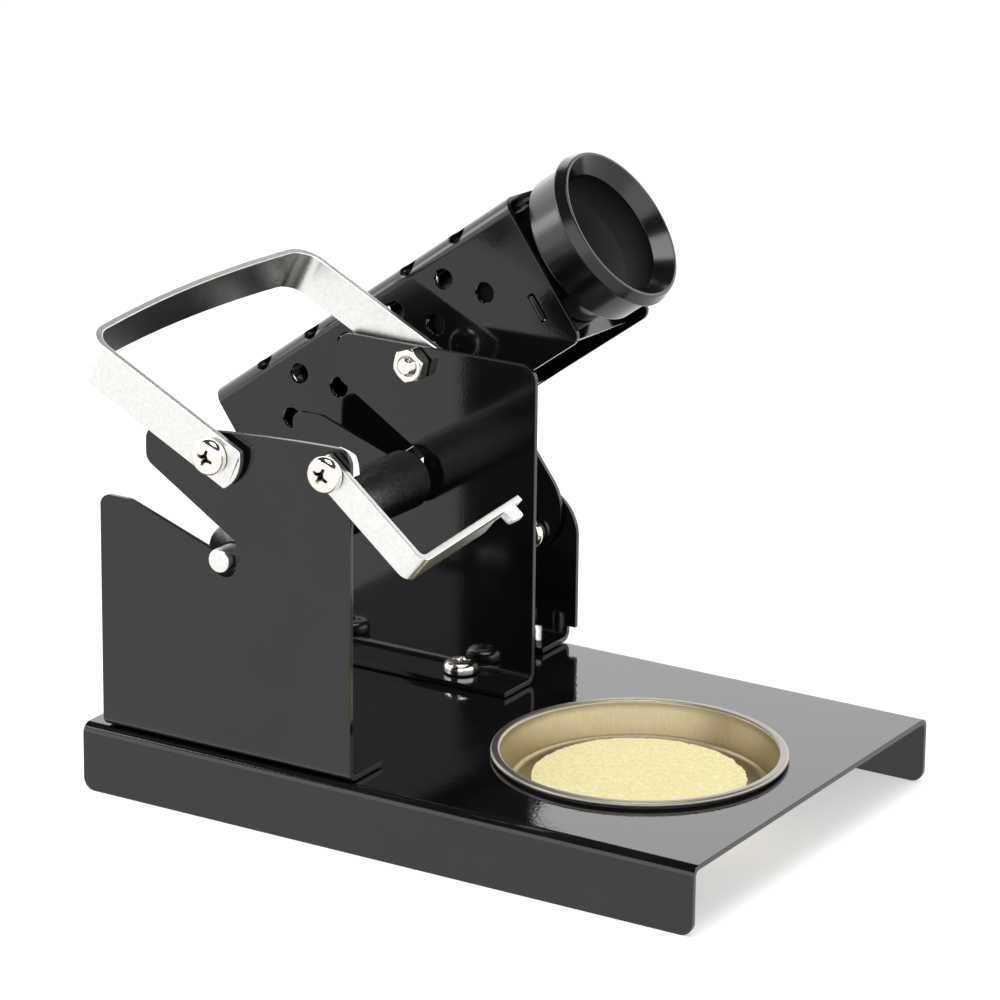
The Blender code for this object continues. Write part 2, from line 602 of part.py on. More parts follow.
def build_bail():
    """The carrying strap: two legs outside the plates and a bowed cross bar."""
    front = PLATE_FRONT_Y - BAIL_PLAY - BAIL_THICKNESS
    rear = REAR_OUTER + BAIL_PLAY + BAIL_THICKNESS
    span = rear - front
    outer = BAIL_REACH + BAIL_THICKNESS / 2
    radius = (BAIL_BOW ** 2 + (span / 2) ** 2) / (2 * BAIL_BOW)
    swing = math.degrees(math.asin(span / 2 / radius))
    bow = arc((outer + BAIL_BOW - radius, (front + rear) / 2), radius, -swing, swing, 10)
    far = -BAIL_TIP - BAIL_WIDTH
    path = [(far, front, 0), (outer, front, BAIL_BEND)] + [(x, y, 0) for x, y in bow[1:-1]]
    path += [(outer, rear, BAIL_BEND), (far, rear, 0)]
    strap = extruded_mesh("bail", folded(path, BAIL_THICKNESS, 6), BAIL_WIDTH, -BAIL_WIDTH / 2)
    frame = bail_frame()
    bail = add_object("bail", strap, frame, PARTS, ZINC)
    outline = strap_outline(outer + 2 * BAIL_BOW, BAIL_TIP, BAIL_WIDTH)
    over = 2 * BAIL_THICKNESS
    ends = extruded_mesh("bail_ends", outline, span + 2 * over, -rear - over)
    cut(bail, add_object("bail_ends", ends, frame @ FRONT_VIEW, CUTTERS), "INTERSECT")
    hole_place = frame @ at(0, front - over, 0) @ REARWARD
    cut(bail, cylinder_cutter("bail_hole", M4_RADIUS + HOLE_CLEARANCE, span + 2 * over, hole_place))
    grip = BAIL_THICKNESS + BAIL_PLAY + SHEET
    screw_and_nut("bail_front", at(BAIL_FRONT_X, front, BAIL_FRONT_Z) @ REARWARD, grip)
    screw_and_nut("bail_rear", at(BAIL_REAR_X, rear, BAIL_REAR_Z) @ FORWARD, grip)
    line = frame.to_3x3() @ Vector((0, 1, 0))
    print("bail pivot", [round(value / MM, 3) for value in frame.translation], "mm, line", line)


def build_guide():
    """The solder wire guide: a strap bent back past square, with a narrow toe and a turned-out tab."""
    front = PLATE_FRONT_Y - GAP - GUIDE_THICKNESS
    corner = GUIDE_REACH + GUIDE_THICKNESS / 2
    lean = math.tan(math.radians(GUIDE_OVERBEND))
    end = front + GUIDE_RUN
    half = GUIDE_WIDTH / 2
    path = [(-GUIDE_TIP - GUIDE_WIDTH, front, 0), (corner, front, GUIDE_BEND),
            (corner - GUIDE_RUN * lean, end, 0)]
    strap = extruded_mesh("guide_arm", folded(path, GUIDE_THICKNESS), GUIDE_WIDTH, -half)
    swing_frame = at(GUIDE_X, 0, GUIDE_Z) @ Matrix.Rotation(math.radians(-GUIDE_ANGLE), 4, "Y")
    arm = add_object("guide_arm", strap, swing_frame, PARTS, ZINC)
    over = 2 * GUIDE_THICKNESS
    outline = strap_outline(corner + over, GUIDE_TIP, GUIDE_WIDTH)
    ends = extruded_mesh("guide_ends", outline, GUIDE_RUN + 2 * over, -end - over)
    cut(arm, add_object("guide_ends", ends, swing_frame @ FRONT_VIEW, CUTTERS), "INTERSECT")
    toe = rounded([(end - GUIDE_TOE, -GUIDE_WIDTH, 0), (end + over, -GUIDE_WIDTH, 0),
                   (end + over, half - GUIDE_TOE_WIDTH * 0.6, 0), (end - GUIDE_TOE, half - GUIDE_TOE_WIDTH, 0)])
    notch = extruded_mesh("guide_toe", toe, 4 * GUIDE_REACH)
    cut(arm, add_object("guide_toe", notch, swing_frame @ SIDE_VIEW, CUTTERS))
    start = end - GUIDE_TAB_START
    outer_face = corner - (start - front) * lean
    tab = rounded([(outer_face - GUIDE_THICKNESS / 2, start, 0), (outer_face + GUIDE_TAB_REACH, start, 0.8 * MM),
                   (outer_face + GUIDE_TAB_REACH, start + GUIDE_TAB_LENGTH, 0.8 * MM),
                   (outer_face - GUIDE_THICKNESS / 2, start + GUIDE_TAB_LENGTH, 0)])
    leaf = extruded_mesh("guide_tab", tab, GUIDE_THICKNESS, half - GUIDE_THICKNESS - 0.2 * MM)
    cut(arm, add_object("guide_tab", leaf, swing_frame, CUTTERS), "UNION")
    hole_place = at(GUIDE_X, front - over, GUIDE_Z) @ REARWARD
    cut(arm, cylinder_cutter("guide_hole", M4_RADIUS + HOLE_CLEARANCE, 2 * over, hole_place))
    screw_and_nut("guide", at(GUIDE_X, front, GUIDE_Z) @ REARWARD, GUIDE_THICKNESS + GAP + SHEET)


# ---- rear bracket ---------------------------------------------------------------------------

def build_rear_bracket():
    """The upright that carries the tilting holder, its foot, and the screws through the foot."""
    low = BASE_TOP + GAP
    half = BRACKET_WIDTH / 2
    over = 2 * SHEET
    path = [(BASE_DEPTH - BRACKET_FOOT, low, 0), (BASE_DEPTH, low, BEND), (BASE_DEPTH, TILT_Z + half + over, 0)]
    section = extruded_mesh("rear_bracket", folded(path, SHEET), BRACKET_WIDTH + 2 * over, -half - over)
    bracket = add_object("rear_bracket", section, at(BRACKET_X, 0, 0) @ SIDE_VIEW, PARTS, BLACK_PAINT)
    foot = half - BRACKET_FOOT_INSET
    shelf = low + SHEET + 2 * BEND
    below = low - over
    outline = arc((BRACKET_X, TILT_Z), half, 0, 180, 20)
    outline += [(BRACKET_X - half, shelf), (BRACKET_X - foot, shelf), (BRACKET_X - foot, below),
                (BRACKET_X + foot, below), (BRACKET_X + foot, shelf), (BRACKET_X + half, shelf)]
    shape = extruded_mesh("bracket_outline", outline, BRACKET_FOOT + 2 * over, -BASE_DEPTH - over)
    cut(bracket, add_object("bracket_outline", shape, FRONT_VIEW, CUTTERS), "INTERSECT")
    place = at(BRACKET_X, BASE_DEPTH - 3 * SHEET, TILT_Z) @ REARWARD
    cut(bracket, cylinder_cutter("bracket_tilt_hole", M4_RADIUS + HOLE_CLEARANCE, 5 * SHEET, place))
    for i, (x, y) in enumerate(bracket_screw_places()):
        place = at(x, y, BASE_TOP - SHEET)
        cut(bracket, cylinder_cutter(f"bracket_foot_hole_{i}", M3_RADIUS + HOLE_CLEARANCE, 2 * over, place))
    shank = GAP + 2 * SHEET + GAP + BRACKET_THREAD
    screw = pan_screw_mesh("bracket_screw", M3_RADIUS, M3_HEAD_RADIUS, M3_HEAD_HEIGHT, shank)
    places = [at(x, y, BASE_TOP - SHEET - GAP) for x, y in bracket_screw_places()]
    repeated("bracket_screw", screw, places, NICKEL)


# ---- iron holder ----------------------------------------------------------------------------

def holder_frame():
    """The holder's own frame: X along the channel to the mouth, Y across to the back, Z up."""
    tilt = Matrix.Rotation(math.radians(-HOLDER_TILT), 4, "Y")
    yaw = Matrix.Rotation(math.radians(HOLDER_YAW), 4, "Z")
    roll = Matrix.Rotation(math.radians(-HOLDER_ROLL), 4, "X")
    return at(MOUTH_X, MOUTH_Y, MOUTH_Z) @ yaw @ tilt @ roll


FRAME = holder_frame()
ACROSS = FRAME @ FRONT_VIEW                     # outline (along, up), thickness towards the front
ALONG = FRAME @ SIDE_VIEW                       # outline (across, up), thickness towards the mouth


def vent_row(first, count):
    """Places of a row of vent holes, counted back from the mouth."""
    return [-(first + i * VENT_PITCH) for i in range(count)]


def build_tongue():
    """The strip from the rear wall's edge, under the channel and down to the tilt screw."""
    half = HOLDER_WIDTH / 2
    middle = -(TONGUE_RIGHT + TONGUE_WIDTH / 2)
    hang = at(BRACKET_X, 0, TILT_Z) @ Matrix.Rotation(math.radians(-HOLDER_TILT), 4, "Y")
    to_hang = hang.inverted() @ FRAME
    wall = to_hang @ Vector((middle, half, -HOLDER_DROP + TONGUE_RAISE))
    inner = to_hang @ Vector((middle, 0, -HOLDER_DROP + TONGUE_RAISE))
    slope = (wall.z - inner.z) / (wall.y - inner.y)
    front = TONGUE_Y - SHEET
    ledge = inner.z + SHEET + (front - inner.y) * slope
    reach = wall.y + TONGUE_WIDTH / 4
    low = TONGUE_END - TONGUE_WIDTH
    path = [(reach, ledge + (reach - front) * slope, 0), (front, ledge, TONGUE_BEND), (front, low, 0)]
    over = 2 * SHEET
    strip = extruded_mesh("tongue", folded(path, SHEET), TONGUE_WIDTH + 2 * over, -TONGUE_WIDTH / 2 - over)
    tongue = add_object("tongue", strip, hang @ SIDE_VIEW, CUTTERS)
    outline = arc((0, TONGUE_END), TONGUE_WIDTH / 2, 180, 360, 24)
    outline += [(TONGUE_WIDTH / 2, 2 * ledge), (-TONGUE_WIDTH / 2, 2 * ledge)]
    shape = extruded_mesh("tongue_outline", outline, 2 * reach, -2 * reach)
    cut(tongue, add_object("tongue_outline", shape, hang @ FRONT_VIEW, CUTTERS), "INTERSECT")
    beyond = rounded(rectangle(-HOLDER_LENGTH, 0, -HOLDER_DROP * 2, 0))
    trim = extruded_mesh("tongue_trim", beyond, TONGUE_WIDTH, -half - TONGUE_WIDTH + SHEET / 2)
    cut(tongue, add_object("tongue_trim", trim, ACROSS, CUTTERS))
    return tongue


def close_tail(holder):
    """Fold a flap down from the top sheet, between slits at its sides, to close the tail."""
    half = HOLDER_WIDTH / 2 - HOLDER_BEND - SHEET
    end = -HOLDER_LENGTH
    over = 2 * SHEET
    notch = rounded(rectangle(end - over, end + SHEET + TAIL_BEND, HOLDER_RISE - over, HOLDER_RISE + over))
    room = extruded_mesh("tail_room", notch, 2 * (half + GAP), -half - GAP)
    cut(holder, add_object("tail_room", room, ACROSS, CUTTERS))
    path = [(end + TAIL_ROOT, HOLDER_RISE, 0), (end, HOLDER_RISE, TAIL_BEND), (end, -HOLDER_DROP + TAIL_SHORT, 0)]
    flap = extruded_mesh("tail_flap", folded(path, SHEET), 2 * half, -half)
    cut(holder, add_object("tail_flap", flap, ACROSS, CUTTERS), "UNION")


def build_iron_holder():
    """The folded channel with its vents, the slots for the mouth plate's tabs, its tail flap and tongue."""
    half = HOLDER_WIDTH / 2
    over = 2 * SHEET
    path = [(half, -HOLDER_DROP - over, 0), (half, HOLDER_RISE, HOLDER_BEND), (-half, HOLDER_RISE, HOLDER_BEND),
            (-half, -HOLDER_DROP - over, 0)]
    section = extruded_mesh("iron_holder", folded(path, SHEET), HOLDER_LENGTH + 2 * over, -HOLDER_LENGTH - over)
    holder = add_object("iron_holder", section, ALONG, PARTS, BLACK_PAINT)
    corners = [(-HOLDER_LENGTH, -HOLDER_DROP, HOLDER_CORNER), (0, -HOLDER_DROP, HOLDER_CORNER),
               (0, HOLDER_RISE + over, 0), (-HOLDER_LENGTH, HOLDER_RISE + over, 0)]
    ends = extruded_mesh("holder_ends", rounded(corners), HOLDER_WIDTH + 2 * over, -half - over)
    cut(holder, add_object("holder_ends", ends, ACROSS, CUTTERS), "INTERSECT")
    close_tail(holder)
    cut(holder, build_tongue(), "UNION")
    rows = [(VENT_ROW_LOWER, vent_row(VENT_FIRST, VENT_COUNT)),
            (VENT_ROW_UPPER, vent_row(VENT_FIRST + VENT_PITCH / 2, VENT_COUNT - 1))]
    for row, (height, places) in enumerate(rows):
        for i, along in enumerate(places):
            start = ACROSS @ at(along, height, -half - over)
            cut(holder, cylinder_cutter(f"vent_{row}_{i}", VENT_RADIUS, HOLDER_WIDTH + 2 * over, start, 14))
    radius = HOLDER_BEND + SHEET
    for side in (-1, 1):
        for i, along in enumerate(vent_row(VENT_FIRST, VENT_COUNT)):
            lean = Matrix.Rotation(math.radians(-side * VENT_BEND_ANGLE), 4, "X")
            start = FRAME @ at(along, side * (half - radius), HOLDER_RISE - radius) @ lean
            cut(holder, cylinder_cutter(f"vent_bend_{side + 1}_{i}", VENT_RADIUS, 2 * radius, start, 14))
    tab_half = PLATE_TAB_LENGTH / 2 + GAP
    slot_half = SHEET / 2 + GAP
    centre = -PLATE_SET_BACK - SHEET / 2
    slot = rounded(rectangle(centre - slot_half, centre + slot_half, PLATE_TAB_HEIGHT - tab_half,
                             PLATE_TAB_HEIGHT + tab_half))
    slots = extruded_mesh("tab_slots", slot, HOLDER_WIDTH + 2 * over, -half - over)
    cut(holder, add_object("tab_slots", slots, ACROSS, CUTTERS))
    place = at(BRACKET_X, TONGUE_Y - 3 * SHEET, TILT_Z) @ REARWARD
    cut(holder, cylinder_cutter("tongue_hole", M4_RADIUS + HOLE_CLEARANCE, 5 * SHEET, place))
    return holder


def build_mouth_plate():
    """The plate across the mouth that carries the funnel, locked by two tabs in the walls."""
    inside = HOLDER_WIDTH / 2 - SHEET - GAP
    tab = HOLDER_WIDTH / 2 + PLATE_TAB_STAND
    top = HOLDER_RISE - SHEET - GAP
    low = PLATE_TAB_HEIGHT - PLATE_TAB_LENGTH / 2
    high = PLATE_TAB_HEIGHT + PLATE_TAB_LENGTH / 2
    ease = inside - PLATE_EASE
    right = [(ease, -PLATE_DROP, 1 * MM), (inside, low, 0), (tab, low + PLATE_EASE, 0),
             (tab, high - PLATE_EASE, 0), (inside, high, 0), (ease, top, HOLDER_BEND + GAP)]
    left = [(-x, y, radius) for x, y, radius in right[::-1]]
    mesh = extruded_mesh("mouth_plate", rounded(right + left), SHEET, -PLATE_SET_BACK - SHEET)
    plate = add_object("mouth_plate", mesh, ALONG, PARTS, BLACK_PAINT)
    place = ALONG @ at(0, 0, -PLATE_SET_BACK - 2 * SHEET)
    cut(plate, cylinder_cutter("neck_hole", NECK_RADIUS + HOLE_CLEARANCE, 3 * SHEET, place, 32))
    return plate


def build_funnel():
    """The moulded funnel that guides the iron in, and the ring that holds it behind the plate."""
    back = FUNNEL_COLLAR_DEPTH
    seat = FUNNEL_REACH + PLATE_SET_BACK - GAP
    entry = HOLDER_WIDTH / 2 - SHEET - 2 * GAP
    neck_end = seat + 2 * GAP + SHEET + NECK_PAST_PLATE
    outer = [(FUNNEL_RIM_RADIUS - FUNNEL_LIP, 0), (FUNNEL_RIM_RADIUS, 0.35 * MM),
             (FUNNEL_STEP_RADIUS, FUNNEL_STEP_DEPTH - 0.2 * MM), (FUNNEL_STEP_RADIUS, FUNNEL_STEP_DEPTH),
             (FUNNEL_COLLAR_RADIUS, FUNNEL_STEP_DEPTH + 0.3 * MM), (FUNNEL_COLLAR_RADIUS, back - 0.4 * MM),
             (FUNNEL_COLLAR_RADIUS - 0.6 * MM, back), (entry, back), (entry - SHOULDER_TAPER, seat),
             (NECK_RADIUS, seat), (NECK_RADIUS, neck_end)]
    inner = [(FUNNEL_THROAT_RADIUS, neck_end), (FUNNEL_THROAT_RADIUS, neck_end - NECK_PAST_PLATE),
             (FUNNEL_BORE_RADIUS, FUNNEL_BORE_DEPTH), (FUNNEL_CONE_RADIUS, FUNNEL_CONE_DEPTH)]
    profile = [(radius, -depth) for radius, depth in outer + inner]
    facing = Matrix.Rotation(math.pi / 2, 4, "Y")
    place = FRAME @ at(FUNNEL_REACH, 0, 0) @ facing
    funnel = add_object("funnel", turned_mesh("funnel", profile, 40), place, PARTS, BAKELITE)
    grip = NECK_RADIUS + GAP
    ring = [(grip, RING_THICKNESS), (grip + RING_WIDTH, RING_THICKNESS), (grip + RING_WIDTH, 0), (grip, 0)]
    behind = -PLATE_SET_BACK - SHEET - GAP - RING_THICKNESS
    clip = add_object("funnel_ring", turned_mesh("funnel_ring", ring, 32), FRAME @ at(behind, 0, 0) @ facing,
                      PARTS, BAKELITE)
    return funnel, clip


def build_tilting_holder():
    """The holder, its mouth plate and its funnel, hung from the tilt screw's axis."""
    pivot = bpy.data.objects.new("holder_pivot", None)
    PARTS.objects.link(pivot)
    pivot.location = (BRACKET_X, TONGUE_Y, TILT_Z)
    bpy.context.view_layer.update()
    earlier = set(CUTTERS.objects)
    pieces = [build_iron_holder(), build_mouth_plate(), *build_funnel()]
    for item in pieces + [cutter for cutter in CUTTERS.objects if cutter not in earlier]:
        item.parent = pivot
        item.matrix_parent_inverse = pivot.matrix_world.inverted()
    screw_and_nut("tilt", at(BRACKET_X, TONGUE_Y - SHEET, TILT_Z) @ REARWARD, 2 * SHEET + GAP)


def centre_footprint():
    """Move the model so that the middle of its footprint, on the ground, is the origin."""
    bpy.context.view_layer.update()
    graph = bpy.context.evaluated_depsgraph_get()
    corners = []
    for item in PARTS.objects:
        if item.type == "MESH":
            solid = item.evaluated_get(graph)
            corners += [solid.matrix_world @ vertex.co for vertex in solid.data.vertices]
    low = [min(corner[axis] for corner in corners) for axis in range(3)]
    high = [max(corner[axis] for corner in corners) for axis in range(3)]
    shift = at(-(low[0] + high[0]) / 2, -(low[1] + high[1]) / 2, -low[2])
    for item in list(PARTS.objects) + list(CUTTERS.objects):
        if item.parent is None:
            item.matrix_world = shift @ item.matrix_world
    bpy.context.view_layer.update()
    return low, high


def build():
    """The whole stand."""
    build_base()
    build_sponge(build_tin())
    build_reel_plate("reel_plate_front", PLATE_FRONT_Y, PLATE_FRONT_Y + PLATE_FOOT)
    build_reel_plate("reel_plate_rear", REAR_OUTER, REAR_OUTER - PLATE_FOOT)
    build_foot_fasteners()
    build_rod_and_roller()
    build_bail()
    build_guide()
    build_rear_bracket()
    build_tilting_holder()
    low, high = centre_footprint()
    print("lowest corner", [round(value / MM, 3) for value in low], "mm")
    print("highest corner", [round(value / MM, 3) for value in high], "mm")


build()
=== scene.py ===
"""Soldering iron stand: the finish of every piece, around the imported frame.

The black folded sheets, the zinc straps, the reel rod and roller, the turned funnel, the tin, the
sponge and the fasteners are made here with rolled edges and fine arcs, each in the place
of its plain solid. Sizes are in the stand's own frame: X along the base from its left end,
Y from the front flange to the back, Z up from the table.
"""
import json
import math

import bmesh
import bpy
from mathutils import Matrix, Vector, noise

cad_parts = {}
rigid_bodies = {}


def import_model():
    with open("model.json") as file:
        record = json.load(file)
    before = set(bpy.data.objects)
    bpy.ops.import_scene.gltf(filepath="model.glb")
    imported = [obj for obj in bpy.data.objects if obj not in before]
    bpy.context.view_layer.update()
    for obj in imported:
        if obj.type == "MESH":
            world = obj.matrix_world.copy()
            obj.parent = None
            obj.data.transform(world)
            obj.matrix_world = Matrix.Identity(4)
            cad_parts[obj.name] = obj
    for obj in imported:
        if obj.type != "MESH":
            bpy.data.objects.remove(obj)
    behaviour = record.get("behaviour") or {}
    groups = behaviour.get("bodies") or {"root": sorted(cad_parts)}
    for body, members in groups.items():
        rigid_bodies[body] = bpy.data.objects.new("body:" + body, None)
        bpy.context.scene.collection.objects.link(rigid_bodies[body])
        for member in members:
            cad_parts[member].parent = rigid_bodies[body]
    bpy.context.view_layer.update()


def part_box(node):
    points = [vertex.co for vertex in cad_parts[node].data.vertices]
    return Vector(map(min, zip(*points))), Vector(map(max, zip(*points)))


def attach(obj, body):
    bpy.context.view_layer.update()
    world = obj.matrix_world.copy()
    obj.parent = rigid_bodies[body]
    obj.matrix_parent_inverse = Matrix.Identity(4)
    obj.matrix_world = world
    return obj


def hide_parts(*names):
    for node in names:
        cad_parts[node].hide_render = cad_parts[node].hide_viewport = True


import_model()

MM = 0.001
HOME = Matrix.Translation(Vector(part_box("base_channel")[0]))     # the stand's own frame in the world

# ---- sizes ----------------------------------------------------------------------------------

SHEET = 1.2 * MM
BEND = 1.1 * MM
GAP = 0.3 * MM
CLEAR = 0.3 * MM
SHEET_EDGE = 0.16 * MM              # rolled edge of the punched sheet
STRAP_EDGE = 0.3 * MM               # rounder edge of the rolled strap
GUIDE_EDGE = 0.22 * MM
FLAT = math.radians(0.2)            # faces closer than this are one flat face

BASE_LENGTH, BASE_DEPTH, BASE_TOP = 150 * MM, 103 * MM, 15 * MM
BASE_CORNER = 2.8 * MM
OVER = 2 * SHEET                    # how far a trimming cutter stands past a sheet

TIN_X, TIN_Y = 109.6 * MM, 48.6 * MM
TIN_WALL = 0.5 * MM
TIN_MOUTH, TIN_FLOOR = 30.0 * MM, 28.4 * MM
TIN_RIM_WIDTH, TIN_RIM_HEIGHT = 1.6 * MM, 1.3 * MM
TIN_DEPTH = 8.6 * MM
TIN_FILLET = 2.0 * MM
TURNED_STEPS = 128                  # sides of the tin and of its hole
SPONGE_RADIUS, SPONGE_THICKNESS = 23.2 * MM, 2.0 * MM
SPONGE_STEPS, SPONGE_RINGS = 220, 64

PLATE_LEFT, PLATE_RIGHT = 5 * MM, 68 * MM
PLATE_FRONT = 0.6 * MM
PLATE_SPACING = 73.8 * MM
PLATE_REAR = PLATE_FRONT + PLATE_SPACING
PLATE_FOOT = 12.4 * MM
PLATE_TOP, PLATE_SHOULDER, PLATE_NOSE = 87.5 * MM, 67.5 * MM, 17 * MM
SLOT_LIP, SLOT_UPPER, SLOT_EDGE = 7.6 * MM, 77 * MM, 0.9 * MM
SLOT_FALL = math.radians(19)
PLATE_EASE, PLATE_CORNER, SHOULDER_EASE = 3 * MM, 3.5 * MM, 2.5 * MM
FRONT_CROWN, REAR_CROWN = 3.2 * MM, 0.0     # fall of the plate's top towards the nose
POCKET_X, POCKET_FLOOR, POCKET_MOUTH = 36.7 * MM, 54.7 * MM, 62.9 * MM

ROD_RADIUS, ROD_OVERHANG, ROD_RISE = 2.55 * MM, 2.3 * MM, 1.2 * MM
ROLLER_RADIUS, ROLLER_WALL, ROLLER_LIP = 6.6 * MM, 1.0 * MM, 0.8 * MM
ROLLER_FRONT_GAP, ROLLER_REAR_GAP = 2.4 * MM, 2.6 * MM
ROD_EASE, ROLLER_EASE = 0.5 * MM, 0.45 * MM
POCKET_RADIUS = ROD_RADIUS + CLEAR
ROD_Z = POCKET_FLOOR + GAP + ROD_RADIUS

M4, M4_HEAD, M4_HEAD_HEIGHT = 2.0 * MM, 3.9 * MM, 2.5 * MM
M4_FLATS, M4_NUT, M4_PITCH = 7.0 * MM, 3.2 * MM, 0.7 * MM
M3, M3_HEAD, M3_HEAD_HEIGHT, M3_PITCH = 1.5 * MM, 2.9 * MM, 1.9 * MM, 0.5 * MM
THREAD_END = 1.2 * MM
HEAD_CROWN, HEAD_FLANK = 0.10, 0.62         # of the head's height
RECESS_ARM, RECESS_BLADE, RECESS_TIP = 0.6, 0.13, 0.75      # of the head's radius, and the tip of the blade
RECESS_FLOOR = 0.55                         # width of the recess at its floor, of its mouth
RECESS_EASE = 0.1 * MM
PLAIN_SHANK = 0.3                           # share of the shank without thread
HEAD_EDGE, NUT_EDGE = 0.05 * MM, 0.07 * MM
NUT_CHAMFER = math.radians(30)
FOOT_TURNS = (0.2, 0.9, 0.4, 1.2)           # how each driven head came to rest
SCREW_TURNS = {"bail_front": 0.35, "bail_rear": 1.1, "guide": 0.5, "tilt": 0.9}
NUT_TURN = math.radians(17)
FOOT_LEFT, FOOT_RIGHT, FOOT_INSET = 18 * MM, 52.7 * MM, 5.9 * MM

BAIL_FRONT_HOLE = Vector((35.6, 0.6, 81.7)) * MM
BAIL_REAR_HOLE = Vector((37.4, 74.4, 83.7)) * MM
BAIL_PLAY, BAIL_THICKNESS, BAIL_WIDTH = 1.0 * MM, 1.6 * MM, 9.7 * MM
BAIL_REACH, BAIL_TIP, BAIL_BOW, BAIL_BEND = 37 * MM, 7.0 * MM, 2.3 * MM, 4.9 * MM
BAIL_ANGLE = math.radians(153.6)

GUIDE_X, GUIDE_Z = 63.6 * MM, 82.5 * MM
GUIDE_THICKNESS, GUIDE_WIDTH = 1.5 * MM, 6.6 * MM
GUIDE_REACH, GUIDE_RUN, GUIDE_TIP, GUIDE_BEND = 26.8 * MM, 42 * MM, 3.4 * MM, 1.2 * MM
GUIDE_OVERBEND = math.radians(4)
GUIDE_TOE, GUIDE_TOE_WIDTH = 9 * MM, 2.6 * MM
GUIDE_TAB_START, GUIDE_TAB_LENGTH, GUIDE_TAB_REACH = 8 * MM, 5.0 * MM, 2.6 * MM
GUIDE_TAB_EASE = 0.8 * MM
GUIDE_ANGLE = math.radians(-39.5)

BRACKET_X, BRACKET_WIDTH, BRACKET_FOOT, BRACKET_INSET = 51.4 * MM, 21.5 * MM, 11.7 * MM, 2.1 * MM
TILT_Z = 40 * MM
BRACKET_SPACING, BRACKET_SCREW_INSET, BRACKET_THREAD = 7.2 * MM, 5.6 * MM, 3.3 * MM

HOLDER_TILT, HOLDER_YAW, HOLDER_ROLL = math.radians(36.35), math.radians(4.23), math.radians(4.12)
MOUTH = Vector((59.0, 105.0, 104.6)) * MM
HOLDER_LENGTH, HOLDER_WIDTH, HOLDER_RISE, HOLDER_DROP = 91.3 * MM, 33.4 * MM, 16.7 * MM, 18.6 * MM
HOLDER_BEND, HOLDER_CORNER = 2.5 * MM, 2.5 * MM
TAIL_ROOT, TAIL_BEND, TAIL_SHORT = 6 * MM, 1.4 * MM, 3 * MM
VENT_RADIUS, VENT_PITCH, VENT_FIRST = 2.35 * MM, 15.1 * MM, 15.6 * MM
VENT_UPPER, VENT_LOWER, VENT_COUNT = 9.05 * MM, 1.55 * MM, 5
VENT_LEAN = math.radians(30)
PUNCH_SIDES = 44
TAB_SLOT_EASE = 0.5 * MM
TONGUE_RIGHT, TONGUE_WIDTH, TONGUE_END, TONGUE_BEND = 33.1 * MM, 23.2 * MM, 7.1 * MM, 1.1 * MM
TONGUE_RAISE = 0.1 * MM
TONGUE_Y = BASE_DEPTH - SHEET - GAP

PLATE_SET_BACK, TAB_LENGTH, TAB_HEIGHT = 5.1 * MM, 6.2 * MM, -7.6 * MM
TAB_STAND, MOUTH_PLATE_DROP, MOUTH_PLATE_EASE = 0.3 * MM, 17.4 * MM, 0.2 * MM
FUNNEL_REACH = 13.6 * MM
RIM_RADIUS, STEP_RADIUS, STEP_DEPTH = 17.9 * MM, 18.85 * MM, 2.7 * MM
COLLAR_RADIUS, COLLAR_DEPTH, RIM_LIP = 17.6 * MM, 11.9 * MM, 0.7 * MM
CONE_RADIUS, CONE_DEPTH = 14.2 * MM, 3.55 * MM
BORE_RADIUS, BORE_DEPTH, THROAT_RADIUS = 13.1 * MM, 10.75 * MM, 10.4 * MM
NECK_RADIUS, NECK_PAST, SHOULDER_TAPER = 12.6 * MM, 3.2 * MM, 0.5 * MM
RING_WIDTH, RING_THICKNESS = 2.0 * MM, 1.2 * MM

FRONT_VIEW = Matrix.Rotation(math.pi / 2, 4, "X")       # outline (x, z), thickness towards the front
SIDE_VIEW = Matrix(((0, 0, 1, 0), (1, 0, 0, 0), (0, 1, 0, 0), (0, 0, 0, 1)))  # outline (y, z), along +X
REARWARD = Matrix.Rotation(-math.pi / 2, 4, "X")
FORWARD = Matrix.Rotation(math.pi / 2, 4, "X")
DOWNWARD = Matrix.Rotation(math.pi, 4, "X")

WORKSHOP = bpy.data.collections.new("blanks")            # blanks and cutters, emptied at the end
bpy.context.scene.collection.children.link(WORKSHOP)


def at(x, y, z):
    return Matrix.Translation((x, y, z))


# ---- outlines -------------------------------------------------------------------------------

def arc(centre, radius, start, end, steps=20):
    """Points on an arc from start to end, in degrees."""
    turns = [math.radians(start + (end - start) * i / steps) for i in range(steps + 1)]
    return [(centre[0] + radius * math.cos(t), centre[1] + radius * math.sin(t)) for t in turns]


def rounded(corners, steps=8):
    """A closed outline from (x, y, radius) corners, with each corner rounded."""
    points = []
    for i, (x, y, radius) in enumerate(corners):
        corner = Vector((x, y))
        if radius == 0:
            points.append((x, y))
            continue
        back = (Vector(corners[i - 1][:2]) - corner).normalized()
        ahead = (Vector(corners[(i + 1) % len(corners)][:2]) - corner).normalized()
        half = back.angle(ahead) / 2
        centre = corner + (back + ahead).normalized() * radius / math.sin(half)
        first = corner + back * radius / math.tan(half) - centre
        last = corner + ahead * radius / math.tan(half) - centre
        turn = math.atan2(first.x * last.y - first.y * last.x, first.dot(last))
        begin = math.atan2(first.y, first.x)
        points += arc(centre, radius, math.degrees(begin), math.degrees(begin + turn), steps)
    return points


